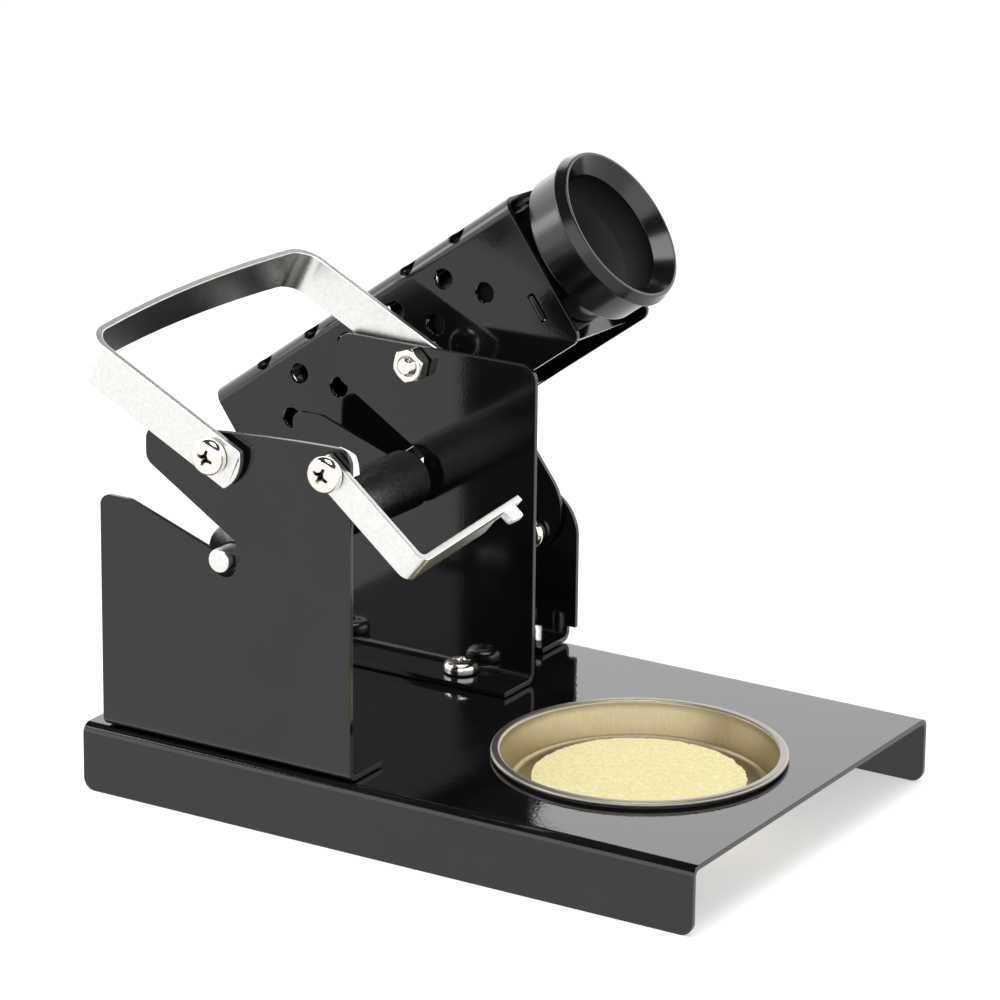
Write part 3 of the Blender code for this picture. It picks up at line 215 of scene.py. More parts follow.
def folded(path, thickness, steps=9):
    """The closed outline of a strip bent along (x, y, inside radius) points, thick to their left."""
    right_side = []
    left_side = []
    for i, point in enumerate(path):
        here = Vector(point[:2])
        into = (here - Vector(path[i - 1][:2])).normalized() if i > 0 else None
        out = (Vector(path[i + 1][:2]) - here).normalized() if i < len(path) - 1 else None
        into = into or out
        out = out or into
        side = Vector((-into.y - out.y, into.x + out.x))
        offset = side * thickness / (1 + into.dot(out))
        turns_left = into.x * out.y - into.y * out.x > 0
        inner = point[2]
        outer = inner + thickness if inner > 0 else 0
        right_side.append((*here, outer if turns_left else inner))
        left_side.append((*(here + offset), inner if turns_left else outer))
    return rounded(right_side + left_side[::-1], steps)


def rectangle(left, right, low, high, radius=0.0):
    return [(left, low, radius), (right, low, radius), (right, high, radius), (left, high, radius)]


# ---- blanks and cutters ---------------------------------------------------------------------

def blank(name, mesh, place=Matrix.Identity(4)):
    """A mesh put in the workshop, to be cut or to cut with."""
    item = bpy.data.objects.new(name + "_blank", mesh)
    WORKSHOP.objects.link(item)
    item.matrix_world = place
    return item


def evaluated_mesh(item):
    bpy.context.view_layer.update()
    return bpy.data.meshes.new_from_object(item.evaluated_get(bpy.context.evaluated_depsgraph_get()))


def solid_outline(name, outline, thickness, start=0.0):
    """A flat outline made solid, from z = start to z = start + thickness."""
    curve = bpy.data.curves.new(name, "CURVE")
    curve.dimensions = "2D"
    curve.fill_mode = "BOTH"
    curve.extrude = thickness / 2
    spline = curve.splines.new("POLY")
    spline.points.add(len(outline) - 1)
    for target, (x, y) in zip(spline.points, outline):
        target.co = (x, y, 0, 1)
    spline.use_cyclic_u = True
    holder = bpy.data.objects.new(name, curve)
    WORKSHOP.objects.link(holder)
    mesh = evaluated_mesh(holder)
    bpy.data.objects.remove(holder)
    bpy.data.curves.remove(curve)
    work = bmesh.new()
    work.from_mesh(mesh)
    bmesh.ops.remove_doubles(work, verts=work.verts, dist=1e-7)
    bmesh.ops.translate(work, verts=work.verts, vec=(0, 0, start + thickness / 2))
    bmesh.ops.recalc_face_normals(work, faces=work.faces)
    bmesh.ops.dissolve_limit(work, angle_limit=FLAT, verts=work.verts, edges=work.edges)
    work.to_mesh(mesh)
    work.free()
    return mesh


def turned(name, profile, steps=96):
    """A profile of (radius, height) points turned about Z; a closed loop if it leaves the axis."""
    mesh = bpy.data.meshes.new(name)
    work = bmesh.new()
    rings = []
    for radius, height in profile:
        if radius < 1e-9:
            rings.append([work.verts.new((0, 0, height))])
            continue
        turns = [2 * math.pi * i / steps for i in range(steps)]
        rings.append([work.verts.new((radius * math.cos(t), radius * math.sin(t), height)) for t in turns])
    pairs = list(zip(rings, rings[1:]))
    if len(rings[0]) > 1:
        pairs.append((rings[-1], rings[0]))
    for low, high in pairs:
        for i in range(steps):
            j = (i + 1) % steps
            corners = [low[i % len(low)], low[j % len(low)], high[j % len(high)], high[i % len(high)]]
            corners = list(dict.fromkeys(corners))
            if len(corners) > 2:
                work.faces.new(corners)
    bmesh.ops.recalc_face_normals(work, faces=work.faces)
    work.to_mesh(mesh)
    work.free()
    return mesh


def cylinder(name, radius, length, place, steps=40):
    """A round cutter that starts at the place and runs along its local Z."""
    profile = [(0, length), (radius, length), (radius, 0), (0, 0)]
    return blank(name, turned(name, profile, steps), place)


def cut(target, cutter, operation="DIFFERENCE"):
    step = target.modifiers.new(operation.lower(), "BOOLEAN")
    step.operation = operation
    step.object = cutter


def keep(target, outline, thickness, place):
    """Trim the target to an outline."""
    cut(target, blank("trim", solid_outline("trim", outline, thickness[0], thickness[1]), place), "INTERSECT")


def roll_edges(mesh, width, segments=2, angle=30):
    """Round the sharp edges of a cut mesh, as rolled and painted sheet has them."""
    work = bmesh.new()
    work.from_mesh(mesh)
    bmesh.ops.remove_doubles(work, verts=work.verts, dist=2e-6)
    bmesh.ops.dissolve_limit(work, angle_limit=FLAT, verts=work.verts, edges=work.edges)
    work.to_mesh(mesh)
    work.free()
    holder = blank("edges", mesh)
    bevel = holder.modifiers.new("edges", "BEVEL")
    bevel.width = width
    bevel.segments = segments
    bevel.limit_method = "ANGLE"
    bevel.angle_limit = math.radians(angle)
    bevel.use_clamp_overlap = False
    bevel.miter_outer = "MITER_SHARP"
    return evaluated_mesh(holder)


def flat_faces_shaded_flat(mesh, sharp):
    """Smooth shading whose normals follow the large faces, so a flat sheet mirrors as flat."""
    mesh.shade_smooth()
    mesh.set_sharp_from_angle(angle=math.radians(sharp))
    holder = blank("shading", mesh)
    step = holder.modifiers.new("shading", "WEIGHTED_NORMAL")
    step.weight = 100
    step.keep_sharp = True
    return evaluated_mesh(holder)


def finish_piece(name, mesh, body, material, nodes, sharp=32):
    """Place a finished mesh in the world and let it stand for its plain solids; sharp is in degrees."""
    mesh.transform(HOME)
    mesh = flat_faces_shaded_flat(mesh, sharp)
    mesh.name = name
    mesh.materials.clear()
    mesh.materials.append(material)
    piece = bpy.data.objects.new(name, mesh)
    bpy.context.scene.collection.objects.link(piece)
    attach(piece, body)
    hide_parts(*nodes)
    return piece


def sheet_piece(name, item, body, material, nodes, edge=SHEET_EDGE, segments=2):
    """Evaluate a cut blank, roll its edges and finish it."""
    mesh = evaluated_mesh(item)
    mesh.transform(item.matrix_world)
    return finish_piece(name, roll_edges(mesh, edge, segments), body, material, nodes)


# ---- node trees -----------------------------------------------------------------------------

class Tree:
    """A small helper that adds nodes to a tree and joins them by socket names."""

    def __init__(self, tree):
        self.tree = tree

    def add(self, kind, inputs=None, **settings):
        node = self.tree.nodes.new(kind)
        for key, value in settings.items():
            setattr(node, key, value)
        for key, value in (inputs or {}).items():
            self.feed(node.inputs[key], value)
        return node

    def feed(self, socket, value):
        if isinstance(value, bpy.types.NodeSocket):
            self.tree.links.new(value, socket)
        else:
            socket.default_value = value

    def math(self, operation, first, second=0.0, clamp=False):
        node = self.add("ShaderNodeMath", {0: first, 1: second}, operation=operation, use_clamp=clamp)
        return node.outputs[0]

    def blend(self, factor, first, second, mode="MIX"):
        node = self.add("ShaderNodeMix", {0: factor, 6: first, 7: second}, data_type="RGBA", blend_type=mode)
        return node.outputs[2]

    def spread(self, value, low, high, new_low=0.0, new_high=1.0):
        inputs = {"Value": value, "From Min": low, "From Max": high, "To Min": new_low, "To Max": new_high}
        return self.add("ShaderNodeMapRange", inputs).outputs[0]

    def noise(self, where, scale, detail=2.0, roughness=0.5):
        inputs = {"Vector": where, "Scale": scale, "Detail": detail, "Roughness": roughness}
        return self.add("ShaderNodeTexNoise", inputs).outputs[0]


def colour(red, green, blue):
    """An sRGB colour of 0 to 255 as linear values."""
    linear = [v / 255 / 12.92 if v <= 10 else ((v / 255 + 0.055) / 1.055) ** 2.4 for v in (red, green, blue)]
    return (*linear, 1)


JET = colour(12, 12, 13)
MATT_GREY = colour(58, 58, 59)
DUST_FILM, DUST_NIB = colour(38, 38, 40), colour(120, 118, 112)
ZINC_BRIGHT, ZINC_DULL = colour(232, 232, 229), colour(160, 160, 158)
TUBE_GREY, TUBE_RUBBED = colour(112, 114, 115), colour(196, 197, 196)
NICKEL_BRIGHT, NICKEL_TARNISH = colour(236, 232, 226), colour(150, 140, 130)
# painted shade: the brown that the screw recesses darken to, more with depth
SHADE_IN_RECESS = colour(84, 74, 66)
LACQUER, LACQUER_WORN, LACQUER_STAIN = colour(184, 173, 137), colour(160, 150, 120), colour(130, 122, 104)
BARE_TIN = colour(158, 152, 144)
# around the sponge's own pale yellow: the pore colour is painted shade, the tip colour painted highlight
SPONGE_PORE_SHADE, SPONGE_PALE, SPONGE_TIP_HIGHLIGHT = colour(250, 231, 148), colour(255, 253, 204), colour(255, 253, 222)

PAINT_IOR = 1.5
FULL_GLOSS = 0.5                    # reflection level of a whole coat
SHADE_INSIDE_GLOSS = 0.06              # reflection level inside the holder's channel, lowered as painted shade
MATT_ROUGHNESS = 0.5


def node_group(name, inputs, outputs):
    """A shader node group with its sockets and the helper that fills it."""
    group = bpy.data.node_groups.new(name, "ShaderNodeTree")
    for label, kind, value in inputs:
        socket = group.interface.new_socket(label, in_out="INPUT", socket_type=kind)
        if value is not None:
            socket.default_value = value
    for label, kind in outputs:
        group.interface.new_socket(label, in_out="OUTPUT", socket_type=kind)
    tree = Tree(group)
    return group, tree, tree.add("NodeGroupInput"), tree.add("NodeGroupOutput")


def paint_surface_group():
    """Stoved enamel: the slight orange peel of sprayed paint, with a few dust nibs."""
    group, t, given, out = node_group("Sprayed enamel", [
        ("Place", "NodeSocketVector", None), ("Peel", "NodeSocketFloat", 0.05),
        ("Cell", "NodeSocketFloat", 700.0), ("Colour", "NodeSocketColor", (0.01, 0.01, 0.01, 1)),
        ("Dust", "NodeSocketFloat", 0.5), ("Satin", "NodeSocketFloat", 0.035)],
        [("Colour", "NodeSocketColor"), ("Roughness", "NodeSocketFloat"), ("Normal", "NodeSocketVector")])
    place = given.outputs["Place"]
    fine = t.noise(place, given.outputs["Cell"], 1.0, 0.4)
    broad = t.noise(place, t.math("MULTIPLY", given.outputs["Cell"], 0.16), 1.0, 0.5)
    height = t.math("ADD", fine, t.math("MULTIPLY", broad, 0.6))
    bump = t.add("ShaderNodeBump", {"Strength": given.outputs["Peel"], "Distance": 0.001, "Height": height})
    nib = t.add("ShaderNodeTexVoronoi", {"Vector": place, "Scale": 260.0})
    size = t.noise(place, 90.0, 0.0)
    speck = t.math("LESS_THAN", nib.outputs["Distance"], t.math("MULTIPLY", t.spread(size, 0.62, 0.9), 0.05))
    film = t.spread(t.noise(place, 60.0, 3.0), 0.35, 0.75)
    dusty = t.blend(t.math("MULTIPLY", film, 0.25), given.outputs["Colour"], DUST_FILM)
    dusty = t.blend(t.math("MULTIPLY", speck, given.outputs["Dust"]), dusty, DUST_NIB)
    t.feed(out.inputs["Colour"], dusty)
    t.feed(out.inputs["Roughness"], t.math("ADD", given.outputs["Satin"], t.math("MULTIPLY", film, 0.04)))
    t.feed(out.inputs["Normal"], bump.outputs[0])
    return group


def plating_surface_group():
    """Electroplate: mottled brightness, a fine grain in roughness and bump, and small stains."""
    group, t, given, out = node_group("Plating", [
        ("Place", "NodeSocketVector", None), ("Colour", "NodeSocketColor", (0.8, 0.8, 0.78, 1)),
        ("Stain", "NodeSocketColor", (0.3, 0.3, 0.3, 1)), ("Mottle", "NodeSocketFloat", 0.3),
        ("Grain", "NodeSocketFloat", 400.0), ("Low", "NodeSocketFloat", 0.2), ("High", "NodeSocketFloat", 0.4),
        ("Depth", "NodeSocketFloat", 0.1)],
        [("Colour", "NodeSocketColor"), ("Roughness", "NodeSocketFloat"), ("Normal", "NodeSocketVector")])
    place = given.outputs["Place"]
    cloud = t.noise(place, t.math("MULTIPLY", given.outputs["Grain"], 0.35), 4.0, 0.6)
    fine = t.noise(place, t.math("MULTIPLY", given.outputs["Grain"], 2.0), 3.0, 0.6)
    spacing = t.math("MULTIPLY", given.outputs["Grain"], 0.5)
    spots = t.add("ShaderNodeTexVoronoi", {"Vector": place, "Scale": spacing})
    spot = t.math("LESS_THAN", spots.outputs["Distance"],
                  t.math("MULTIPLY", t.spread(t.noise(place, 120.0, 1.0), 0.55, 0.8), 0.12))
    patch = t.spread(cloud, 0.38, 0.72)
    mottled = t.blend(t.math("MULTIPLY", patch, given.outputs["Mottle"]), given.outputs["Colour"],
                      given.outputs["Stain"])
    mottled = t.blend(t.math("MULTIPLY", spot, 0.7), mottled, given.outputs["Stain"])
    span = t.math("SUBTRACT", given.outputs["High"], given.outputs["Low"])
    rough = t.math("ADD", given.outputs["Low"], t.math("MULTIPLY", t.spread(fine, 0.3, 0.7), span))
    height = t.math("ADD", fine, t.math("MULTIPLY", cloud, 1.5))
    bump = t.add("ShaderNodeBump", {"Strength": given.outputs["Depth"], "Distance": 0.0004, "Height": height})
    t.feed(out.inputs["Colour"], mottled)
    t.feed(out.inputs["Roughness"], rough)
    t.feed(out.inputs["Normal"], bump.outputs[0])
    return group


def new_material(name):
    """A material with its Principled shader and Object coordinates."""
    material = bpy.data.materials.new(name)
    material.use_nodes = True
    tree = Tree(material.node_tree)
    shader = material.node_tree.nodes["Principled BSDF"]
    place = tree.add("ShaderNodeTexCoord").outputs["Object"]
    return material, tree, shader, place


def film_on(t, shader, film):
    """Join a surface group's outputs to the shader."""
    t.feed(shader.inputs["Base Color"], film.outputs["Colour"])
    t.feed(shader.inputs["Roughness"], film.outputs["Roughness"])
    t.feed(shader.inputs["Normal"], film.outputs["Normal"])


def painted(name, group, tint, peel, cell, dust, satin, dull=False, gloss=FULL_GLOSS):
    """Black paint or moulding; dull lets the piece's matt attribute grey and roughen it."""
    material, t, shader, place = new_material(name)
    film = t.add("ShaderNodeGroup", node_tree=group)
    if dull:
        matt = t.add("ShaderNodeAttribute", attribute_name="matt").outputs["Fac"]
        tint = t.blend(matt, tint, MATT_GREY)
        satin = t.spread(matt, 0, 1, satin, MATT_ROUGHNESS)
    values = {"Place": place, "Peel": peel, "Cell": cell, "Colour": tint, "Dust": dust, "Satin": satin}
    for label, value in values.items():
        t.feed(film.inputs[label], value)
    film_on(t, shader, film)
    shader.inputs["IOR"].default_value = PAINT_IOR
    shader.inputs["Specular IOR Level"].default_value = gloss
    return material


def plated(name, group, shaded_recess=False, **values):
    """Plated steel; with the flag set, the piece's attribute darkens it with painted shade in its recesses."""
    material, t, shader, place = new_material(name)
    film = t.add("ShaderNodeGroup", node_tree=group)
    if shaded_recess:
        # painted shade in the recesses, read from the piece's attribute
        dark = t.add("ShaderNodeAttribute", attribute_name="recess_shade").outputs["Fac"]
        values["Colour"] = t.blend(dark, values["Colour"], SHADE_IN_RECESS)
    t.feed(film.inputs["Place"], place)
    for label, value in values.items():
        t.feed(film.inputs[label], value)
    film_on(t, shader, film)
    shader.inputs["Metallic"].default_value = 1.0
    return material


def tin_material(group):
    """Drawn tinplate, lacquered gold inside, with fine drawing marks up the wall and a bare grey rim."""
    material, t, shader, place = new_material("gold_lacquered_tin")
    centre = HOME @ Vector((TIN_X, TIN_Y, 0))
    spot = t.add("ShaderNodeSeparateXYZ", {0: t.add("ShaderNodeVectorMath", {0: place, 1: centre},
                                                    operation="SUBTRACT").outputs[0]})
    turn = t.math("ARCTAN2", spot.outputs[1], spot.outputs[0])
    around = t.add("ShaderNodeCombineXYZ", {0: turn, 1: t.math("MULTIPLY", spot.outputs[2], 4.0)}).outputs[0]
    marks = t.spread(t.noise(around, 60.0, 4.0, 0.7), 0.35, 0.7)
    flat = t.add("ShaderNodeCombineXYZ", {0: spot.outputs[0], 1: spot.outputs[1]}).outputs[0]
    radius = t.add("ShaderNodeVectorMath", {0: flat}, operation="LENGTH").outputs["Value"]
    rim_start = TIN_MOUTH - TIN_WALL
    rim = t.spread(radius, rim_start - 0.2 * MM, rim_start + 0.3 * MM)
    lacquer = t.blend(t.math("MULTIPLY", marks, 0.5), LACQUER, LACQUER_WORN)
    tint = t.blend(rim, lacquer, BARE_TIN)
    film = t.add("ShaderNodeGroup", node_tree=group)
    values = {"Place": place, "Colour": tint, "Stain": LACQUER_STAIN, "Mottle": 0.12, "Grain": 1600.0,
              "Low": 0.36, "High": 0.46, "Depth": 0.03}
    for label, value in values.items():
        t.feed(film.inputs[label], value)
    film_on(t, shader, film)
    shader.inputs["Metallic"].default_value = 1.0
    return material


def sponge_material():
    """Dry cellulose: pale yellow, with painted shade of deeper yellow in the pores and a painted highlight,
    paler, on the raised tips.
    """
    material, t, shader, place = new_material("cellulose_sponge")
    coarse = t.noise(place, 900.0, 4.0, 0.65)
    fine = t.noise(place, 2600.0, 2.0, 0.6)
    pores = t.add("ShaderNodeTexVoronoi", {"Vector": place, "Scale": 1100.0}).outputs["Distance"]
    pit = t.spread(pores, 0.12, 0.45)
    depth = t.math("MULTIPLY", t.spread(coarse, 0.3, 0.6), pit)
    # painted shade: deeper yellow where the surface lies low in the pores
    tint = t.blend(depth, SPONGE_PORE_SHADE, SPONGE_PALE)
    # painted highlight: paler where the fine bumps rise
    tint = t.blend(t.math("MULTIPLY", t.spread(fine, 0.5, 0.8), 0.5), tint, SPONGE_TIP_HIGHLIGHT)
    t.feed(shader.inputs["Base Color"], tint)
    shader.inputs["Roughness"].default_value = 0.95
    height = t.math("ADD", depth, t.math("MULTIPLY", fine, 0.3))
    bump = t.add("ShaderNodeBump", {"Strength": 0.5, "Distance": 0.0003, "Height": height})
    t.feed(shader.inputs["Normal"], bump.outputs[0])
    return material


ENAMEL_GROUP = paint_surface_group()
PLATING_GROUP = plating_surface_group()
BLACK = painted("gloss_black_enamel", ENAMEL_GROUP, JET, peel=0.008, cell=1500.0, dust=0.4, satin=0.075)
# the same black with hardly any reflection, painted shade inside the holder's channel
SHADED_INSIDE_BLACK = painted("black_inside_painted_shade", ENAMEL_GROUP, JET, peel=0.008, cell=1500.0, dust=0.4, satin=0.075,
                     gloss=SHADE_INSIDE_GLOSS)
BLACK_BASE = painted("gloss_black_base_enamel", ENAMEL_GROUP, JET, peel=0.016, cell=1200.0, dust=0.3,
                     satin=0.045)
BAKELITE = painted("black_moulding", ENAMEL_GROUP, JET, peel=0.015, cell=1500.0, dust=0.2, satin=0.17,
                   dull=True)
ZINC = plated("bright_zinc", PLATING_GROUP, Colour=ZINC_BRIGHT, Stain=ZINC_DULL,
              Mottle=0.22, Grain=3200.0, Low=0.25, High=0.36, Depth=0.07)
TUBE = plated("worn_zinc_tube", PLATING_GROUP, Colour=TUBE_GREY, Stain=TUBE_RUBBED,
              Mottle=0.35, Grain=2600.0, Low=0.22, High=0.36, Depth=0.1)
NICKEL = plated("bright_nickel", PLATING_GROUP, shaded_recess=True, Colour=NICKEL_BRIGHT, Stain=NICKEL_TARNISH,
                Mottle=0.12, Grain=2200.0, Low=0.07, High=0.16, Depth=0.03)
TINPLATE = tin_material(PLATING_GROUP)
CELLULOSE = sponge_material()


# ---- repeated pieces, by geometry nodes -----------------------------------------------------

class NodeTree(Tree):
    """A geometry node tree on a carrier object."""

    def __init__(self, name):
        super().__init__(bpy.data.node_groups.new(name, "GeometryNodeTree"))
        self.tree.interface.new_socket("Geometry", in_out="INPUT", socket_type="NodeSocketGeometry")
        self.tree.interface.new_socket("Geometry", in_out="OUTPUT", socket_type="NodeSocketGeometry")
        self.given = self.add("NodeGroupInput")
        self.out = self.add("NodeGroupOutput")
        self.names = {}

    def value(self, label, kind="NodeSocketFloat"):
        socket = self.tree.interface.new_socket(label, in_out="INPUT", socket_type=kind)
        self.names[label] = socket.identifier
        return self.given.outputs[label]

    def mesh(self, name, carrier, **values):
        """The tree's result on a carrier mesh, as a plain mesh."""
        item = blank(name, carrier)
        step = item.modifiers.new("nodes", "NODES")
        step.node_group = self.tree
        for label, value in values.items():
            step[self.names[label]] = value
        return evaluated_mesh(item)


def vent_row_tree():
    """A row of round punches: Count cylinders of Radius and Length, Pitch apart along -X."""
    t = NodeTree("Vent row")
    count = t.value("Count", "NodeSocketInt")
    pitch, first, radius, length = (t.value(label) for label in ("Pitch", "First", "Radius", "Length"))
    start = t.add("ShaderNodeCombineXYZ", {0: t.math("MULTIPLY", first, -1.0)}).outputs[0]
    step = t.add("ShaderNodeCombineXYZ", {0: t.math("MULTIPLY", pitch, -1.0)}).outputs[0]
    line = t.add("GeometryNodeMeshLine", {"Count": count, "Start Location": start, "Offset": step})
    punch = t.add("GeometryNodeMeshCylinder", {"Vertices": PUNCH_SIDES, "Radius": radius, "Depth": length})
    place = t.add("GeometryNodeInstanceOnPoints", {"Points": line.outputs[0], "Instance": punch.outputs[0]})
    real = t.add("GeometryNodeRealizeInstances", {0: place.outputs[0]})
    t.feed(t.out.inputs[0], real.outputs[0])
    return t


def fastener_tree():
    """The same fastener on every point, turned by the point's own turn."""
    t = NodeTree("Fasteners")
    piece = t.value("Piece", "NodeSocketObject")
    metal = t.value("Metal", "NodeSocketMaterial")
    shape = t.add("GeometryNodeObjectInfo", {"Object": piece})
    turn = t.add("GeometryNodeInputNamedAttribute", {"Name": "turn"}, data_type="FLOAT_VECTOR")
    place = t.add("GeometryNodeInstanceOnPoints", {"Points": t.given.outputs[0], "Rotation": turn.outputs[0],
                                                   "Instance": shape.outputs["Geometry"]})
    real = t.add("GeometryNodeRealizeInstances", {0: place.outputs[0]})
    dressed = t.add("GeometryNodeSetMaterial", {"Geometry": real.outputs[0], "Material": metal})
    t.feed(t.out.inputs[0], dressed.outputs[0])
    return t


VENT_ROW = vent_row_tree()
FASTENERS = fastener_tree()


def points_mesh(name, places):
    """One point for each place, with the place's turn as an attribute."""
    mesh = bpy.data.meshes.new(name)
    mesh.from_pydata([place.translation for place in places], [], [])
    turn = mesh.attributes.new("turn", "FLOAT_VECTOR", "POINT")
    for i, place in enumerate(places):
        turn.data[i].vector = place.to_euler()[:]
    return mesh


def fasteners(name, shape, places, body, metal, nodes):
    """Copies of one fastener at their places, as one piece."""
    mesh = FASTENERS.mesh(name, points_mesh(name + "_points", places), Piece=blank(name + "_shape", shape),
                          Metal=metal)
    return finish_piece(name, mesh, body, metal, nodes, 30)


# ---- fasteners ------------------------------------------------------------------------------

def thread_profile(radius, pitch, start, end):
    """Points down a threaded shank, from its end back to its start."""
    root = radius - 0.55 * pitch
    points = [(0, end), (root * 0.9, end), (radius - 0.2 * pitch, end - 0.35 * pitch)]
    height = end - 0.8 * pitch
    while height > start:
        points += [(root, height + 0.06 * pitch), (root, height - 0.06 * pitch),
                   (radius, height - 0.44 * pitch), (radius, height - 0.54 * pitch)]
        height -= pitch
    return points


def pan_screw(name, radius, head, height, pitch, shank):
    """A cross recess pan head screw: head below z = 0, threaded shank up from it."""
    crown = height * HEAD_CROWN
    flank = HEAD_FLANK * height
    plain = shank * PLAIN_SHANK
    profile = thread_profile(radius, pitch, plain, shank) + [(radius, plain), (radius, 0)]
    profile += [(head - 0.12 * MM, 0), (head, -0.12 * MM)]
    profile += arc((head - flank, flank - height), flank, 0, -68, 9)
    low = profile[-1]
    bow = [(low[0] * (1 - s), low[1] - crown * (1 - (1 - s) ** 2)) for s in (0.2, 0.4, 0.6, 0.8, 1.0)]
    item = blank(name, turned(name, profile + bow, 48))
    arm = head * RECESS_ARM
    blade = head * RECESS_BLADE
    tip = blade * RECESS_TIP
    ease = RECESS_EASE
    root = blade * 1.5
    cross = rounded([(-arm, -tip, ease), (-root, -blade, 0), (-blade, -root, 0), (-tip, -arm, ease),
                     (tip, -arm, ease), (blade, -root, 0), (root, -blade, 0), (arm, -tip, ease),
                     (arm, tip, ease), (root, blade, 0), (blade, root, 0), (tip, arm, ease),
                     (-tip, arm, ease), (-blade, root, 0), (-root, blade, 0), (-arm, tip, ease)], 3)
    recess = solid_outline(name + "_recess", cross, height * 1.3, -height * 1.5)
    work = bmesh.new()
    work.from_mesh(recess)
    for vertex in work.verts:
        if vertex.co.z > -height:
            vertex.co.x *= RECESS_FLOOR
            vertex.co.y *= RECESS_FLOOR
    work.to_mesh(recess)
    work.free()
    cut(item, blank(name + "_recess", recess))
    cone = [(0, -height * 0.15), (blade * 2.3, -height * 1.2), (0, -height * 1.2)]
    cut(item, blank(name + "_cone", turned(name + "_cone", cone, 24)))
    mesh = roll_edges(evaluated_mesh(item), HEAD_EDGE, 2, 40)
    # painted shade: points inside the cross recess darken more the deeper they lie
    recess_shade = mesh.attributes.new("recess_shade", "FLOAT", "POINT")
    for i, vertex in enumerate(mesh.vertices):
        inside = math.hypot(vertex.co.x, vertex.co.y) < arm * 1.02 and vertex.co.z < -0.02 * height
        deep = (vertex.co.z + height * 0.85) / height * 1.8
        recess_shade.data[i].value = min(1.0, max(0.0, deep)) if inside else 0.0
    return mesh


def hexagon_nut(name, flats, height, radius):
    """A chamfered hexagon nut from z = 0 up, its bore opened at both ends."""
    corner = flats / 2 / math.cos(math.pi / 6)
    item = blank(name, solid_outline(name, arc((0, 0), corner, 0, 300, 5), height))
    flank = flats / 2 * 0.96
    past = corner * 1.02
    drop = (past - flank) * math.tan(NUT_CHAMFER)
    lathe = [(0, height), (flank, height), (past, height - drop), (past, drop), (flank, 0), (0, 0)]
    cut(item, blank(name + "_lathe", turned(name + "_lathe", lathe, 72)), "INTERSECT")
    bore = [(0, height * 1.2), (radius + 0.5 * MM, height + 0.1 * MM), (radius + 0.12 * MM, height - 0.35 * MM),
            (radius + 0.12 * MM, 0.35 * MM), (radius + 0.5 * MM, -0.1 * MM), (0, -0.2 * height)]
    cut(item, blank(name + "_bore", turned(name + "_bore", bore, 40)))
    return roll_edges(evaluated_mesh(item), NUT_EDGE, 2, 25)


def foot_places():
    rows = (PLATE_FRONT + FOOT_INSET, PLATE_REAR - FOOT_INSET)
    return [(x, y) for y in rows for x in (FOOT_LEFT, FOOT_RIGHT)]


def bracket_places():
    y = BASE_DEPTH - BRACKET_FOOT + BRACKET_SCREW_INSET
    return [(BRACKET_X + side * BRACKET_SPACING / 2, y) for side in (-1, 1)]


def screw_set(name, place, grip):
    """One M4 pivot screw and its nut, as two finished pieces."""
    shank = GAP + grip + GAP + M4_NUT + THREAD_END
    screw = pan_screw(name + "_pivot_screw", M4, M4_HEAD, M4_HEAD_HEIGHT, M4_PITCH, shank)
    spin = Matrix.Rotation(SCREW_TURNS[name], 4, "Z")
    fasteners(name + "_pivot_screw", screw, [place @ at(0, 0, -GAP) @ spin], "stand",
              NICKEL, [name + "_screw"])
    nut = hexagon_nut(name + "_pivot_nut", M4_FLATS, M4_NUT, M4)
    fasteners(name + "_pivot_nut", nut, [place @ at(0, 0, grip + GAP) @ Matrix.Rotation(NUT_TURN, 4, "Z")],
              "stand", NICKEL, [name + "_nut"])


def build_fasteners():
    grip = 2 * SHEET + GAP
    shank = GAP + grip + GAP + M4_NUT + THREAD_END
    screw = pan_screw("foot_screws", M4, M4_HEAD, M4_HEAD_HEIGHT, M4_PITCH, shank)
    top = BASE_TOP + GAP + SHEET + GAP
    heads = [at(x, y, top) @ DOWNWARD @ Matrix.Rotation(turn, 4, "Z")
             for (x, y), turn in zip(foot_places(), FOOT_TURNS)]
    fasteners("foot_screws", screw, heads, "stand", NICKEL,
              [f"foot_screw_{i}" for i in range(1, 5)])
    nuts = [at(x, y, BASE_TOP - SHEET - GAP) @ DOWNWARD for x, y in foot_places()]
    fasteners("foot_nuts", hexagon_nut("foot_nuts", M4_FLATS, M4_NUT, M4), nuts, "stand",
              NICKEL, [f"foot_nut_{i}" for i in range(1, 5)])
    small_shank = 2 * GAP + 2 * SHEET + BRACKET_THREAD
    small = pan_screw("bracket_screws", M3, M3_HEAD, M3_HEAD_HEIGHT, M3_PITCH, small_shank)
    places = [at(x, y, BASE_TOP - SHEET - GAP) for x, y in bracket_places()]
    fasteners("bracket_screws", small, places, "stand", NICKEL,
              ["bracket_screw_1", "bracket_screw_2"])
    front = BAIL_FRONT_HOLE.y - BAIL_PLAY - BAIL_THICKNESS
    rear = BAIL_REAR_HOLE.y + BAIL_PLAY + BAIL_THICKNESS
    grip = BAIL_THICKNESS + BAIL_PLAY + SHEET
    screw_set("bail_front", at(BAIL_FRONT_HOLE.x, front, BAIL_FRONT_HOLE.z) @ REARWARD, grip)
    screw_set("bail_rear", at(BAIL_REAR_HOLE.x, rear, BAIL_REAR_HOLE.z) @ FORWARD, grip)
    screw_set("guide", at(GUIDE_X, PLATE_FRONT - GAP - GUIDE_THICKNESS, GUIDE_Z) @ REARWARD,
              GUIDE_THICKNESS + GAP + SHEET)
    screw_set("tilt", at(BRACKET_X, TONGUE_Y - SHEET, TILT_Z) @ REARWARD, 2 * SHEET + GAP)


# ---- base, tin and sponge -------------------------------------------------------------------

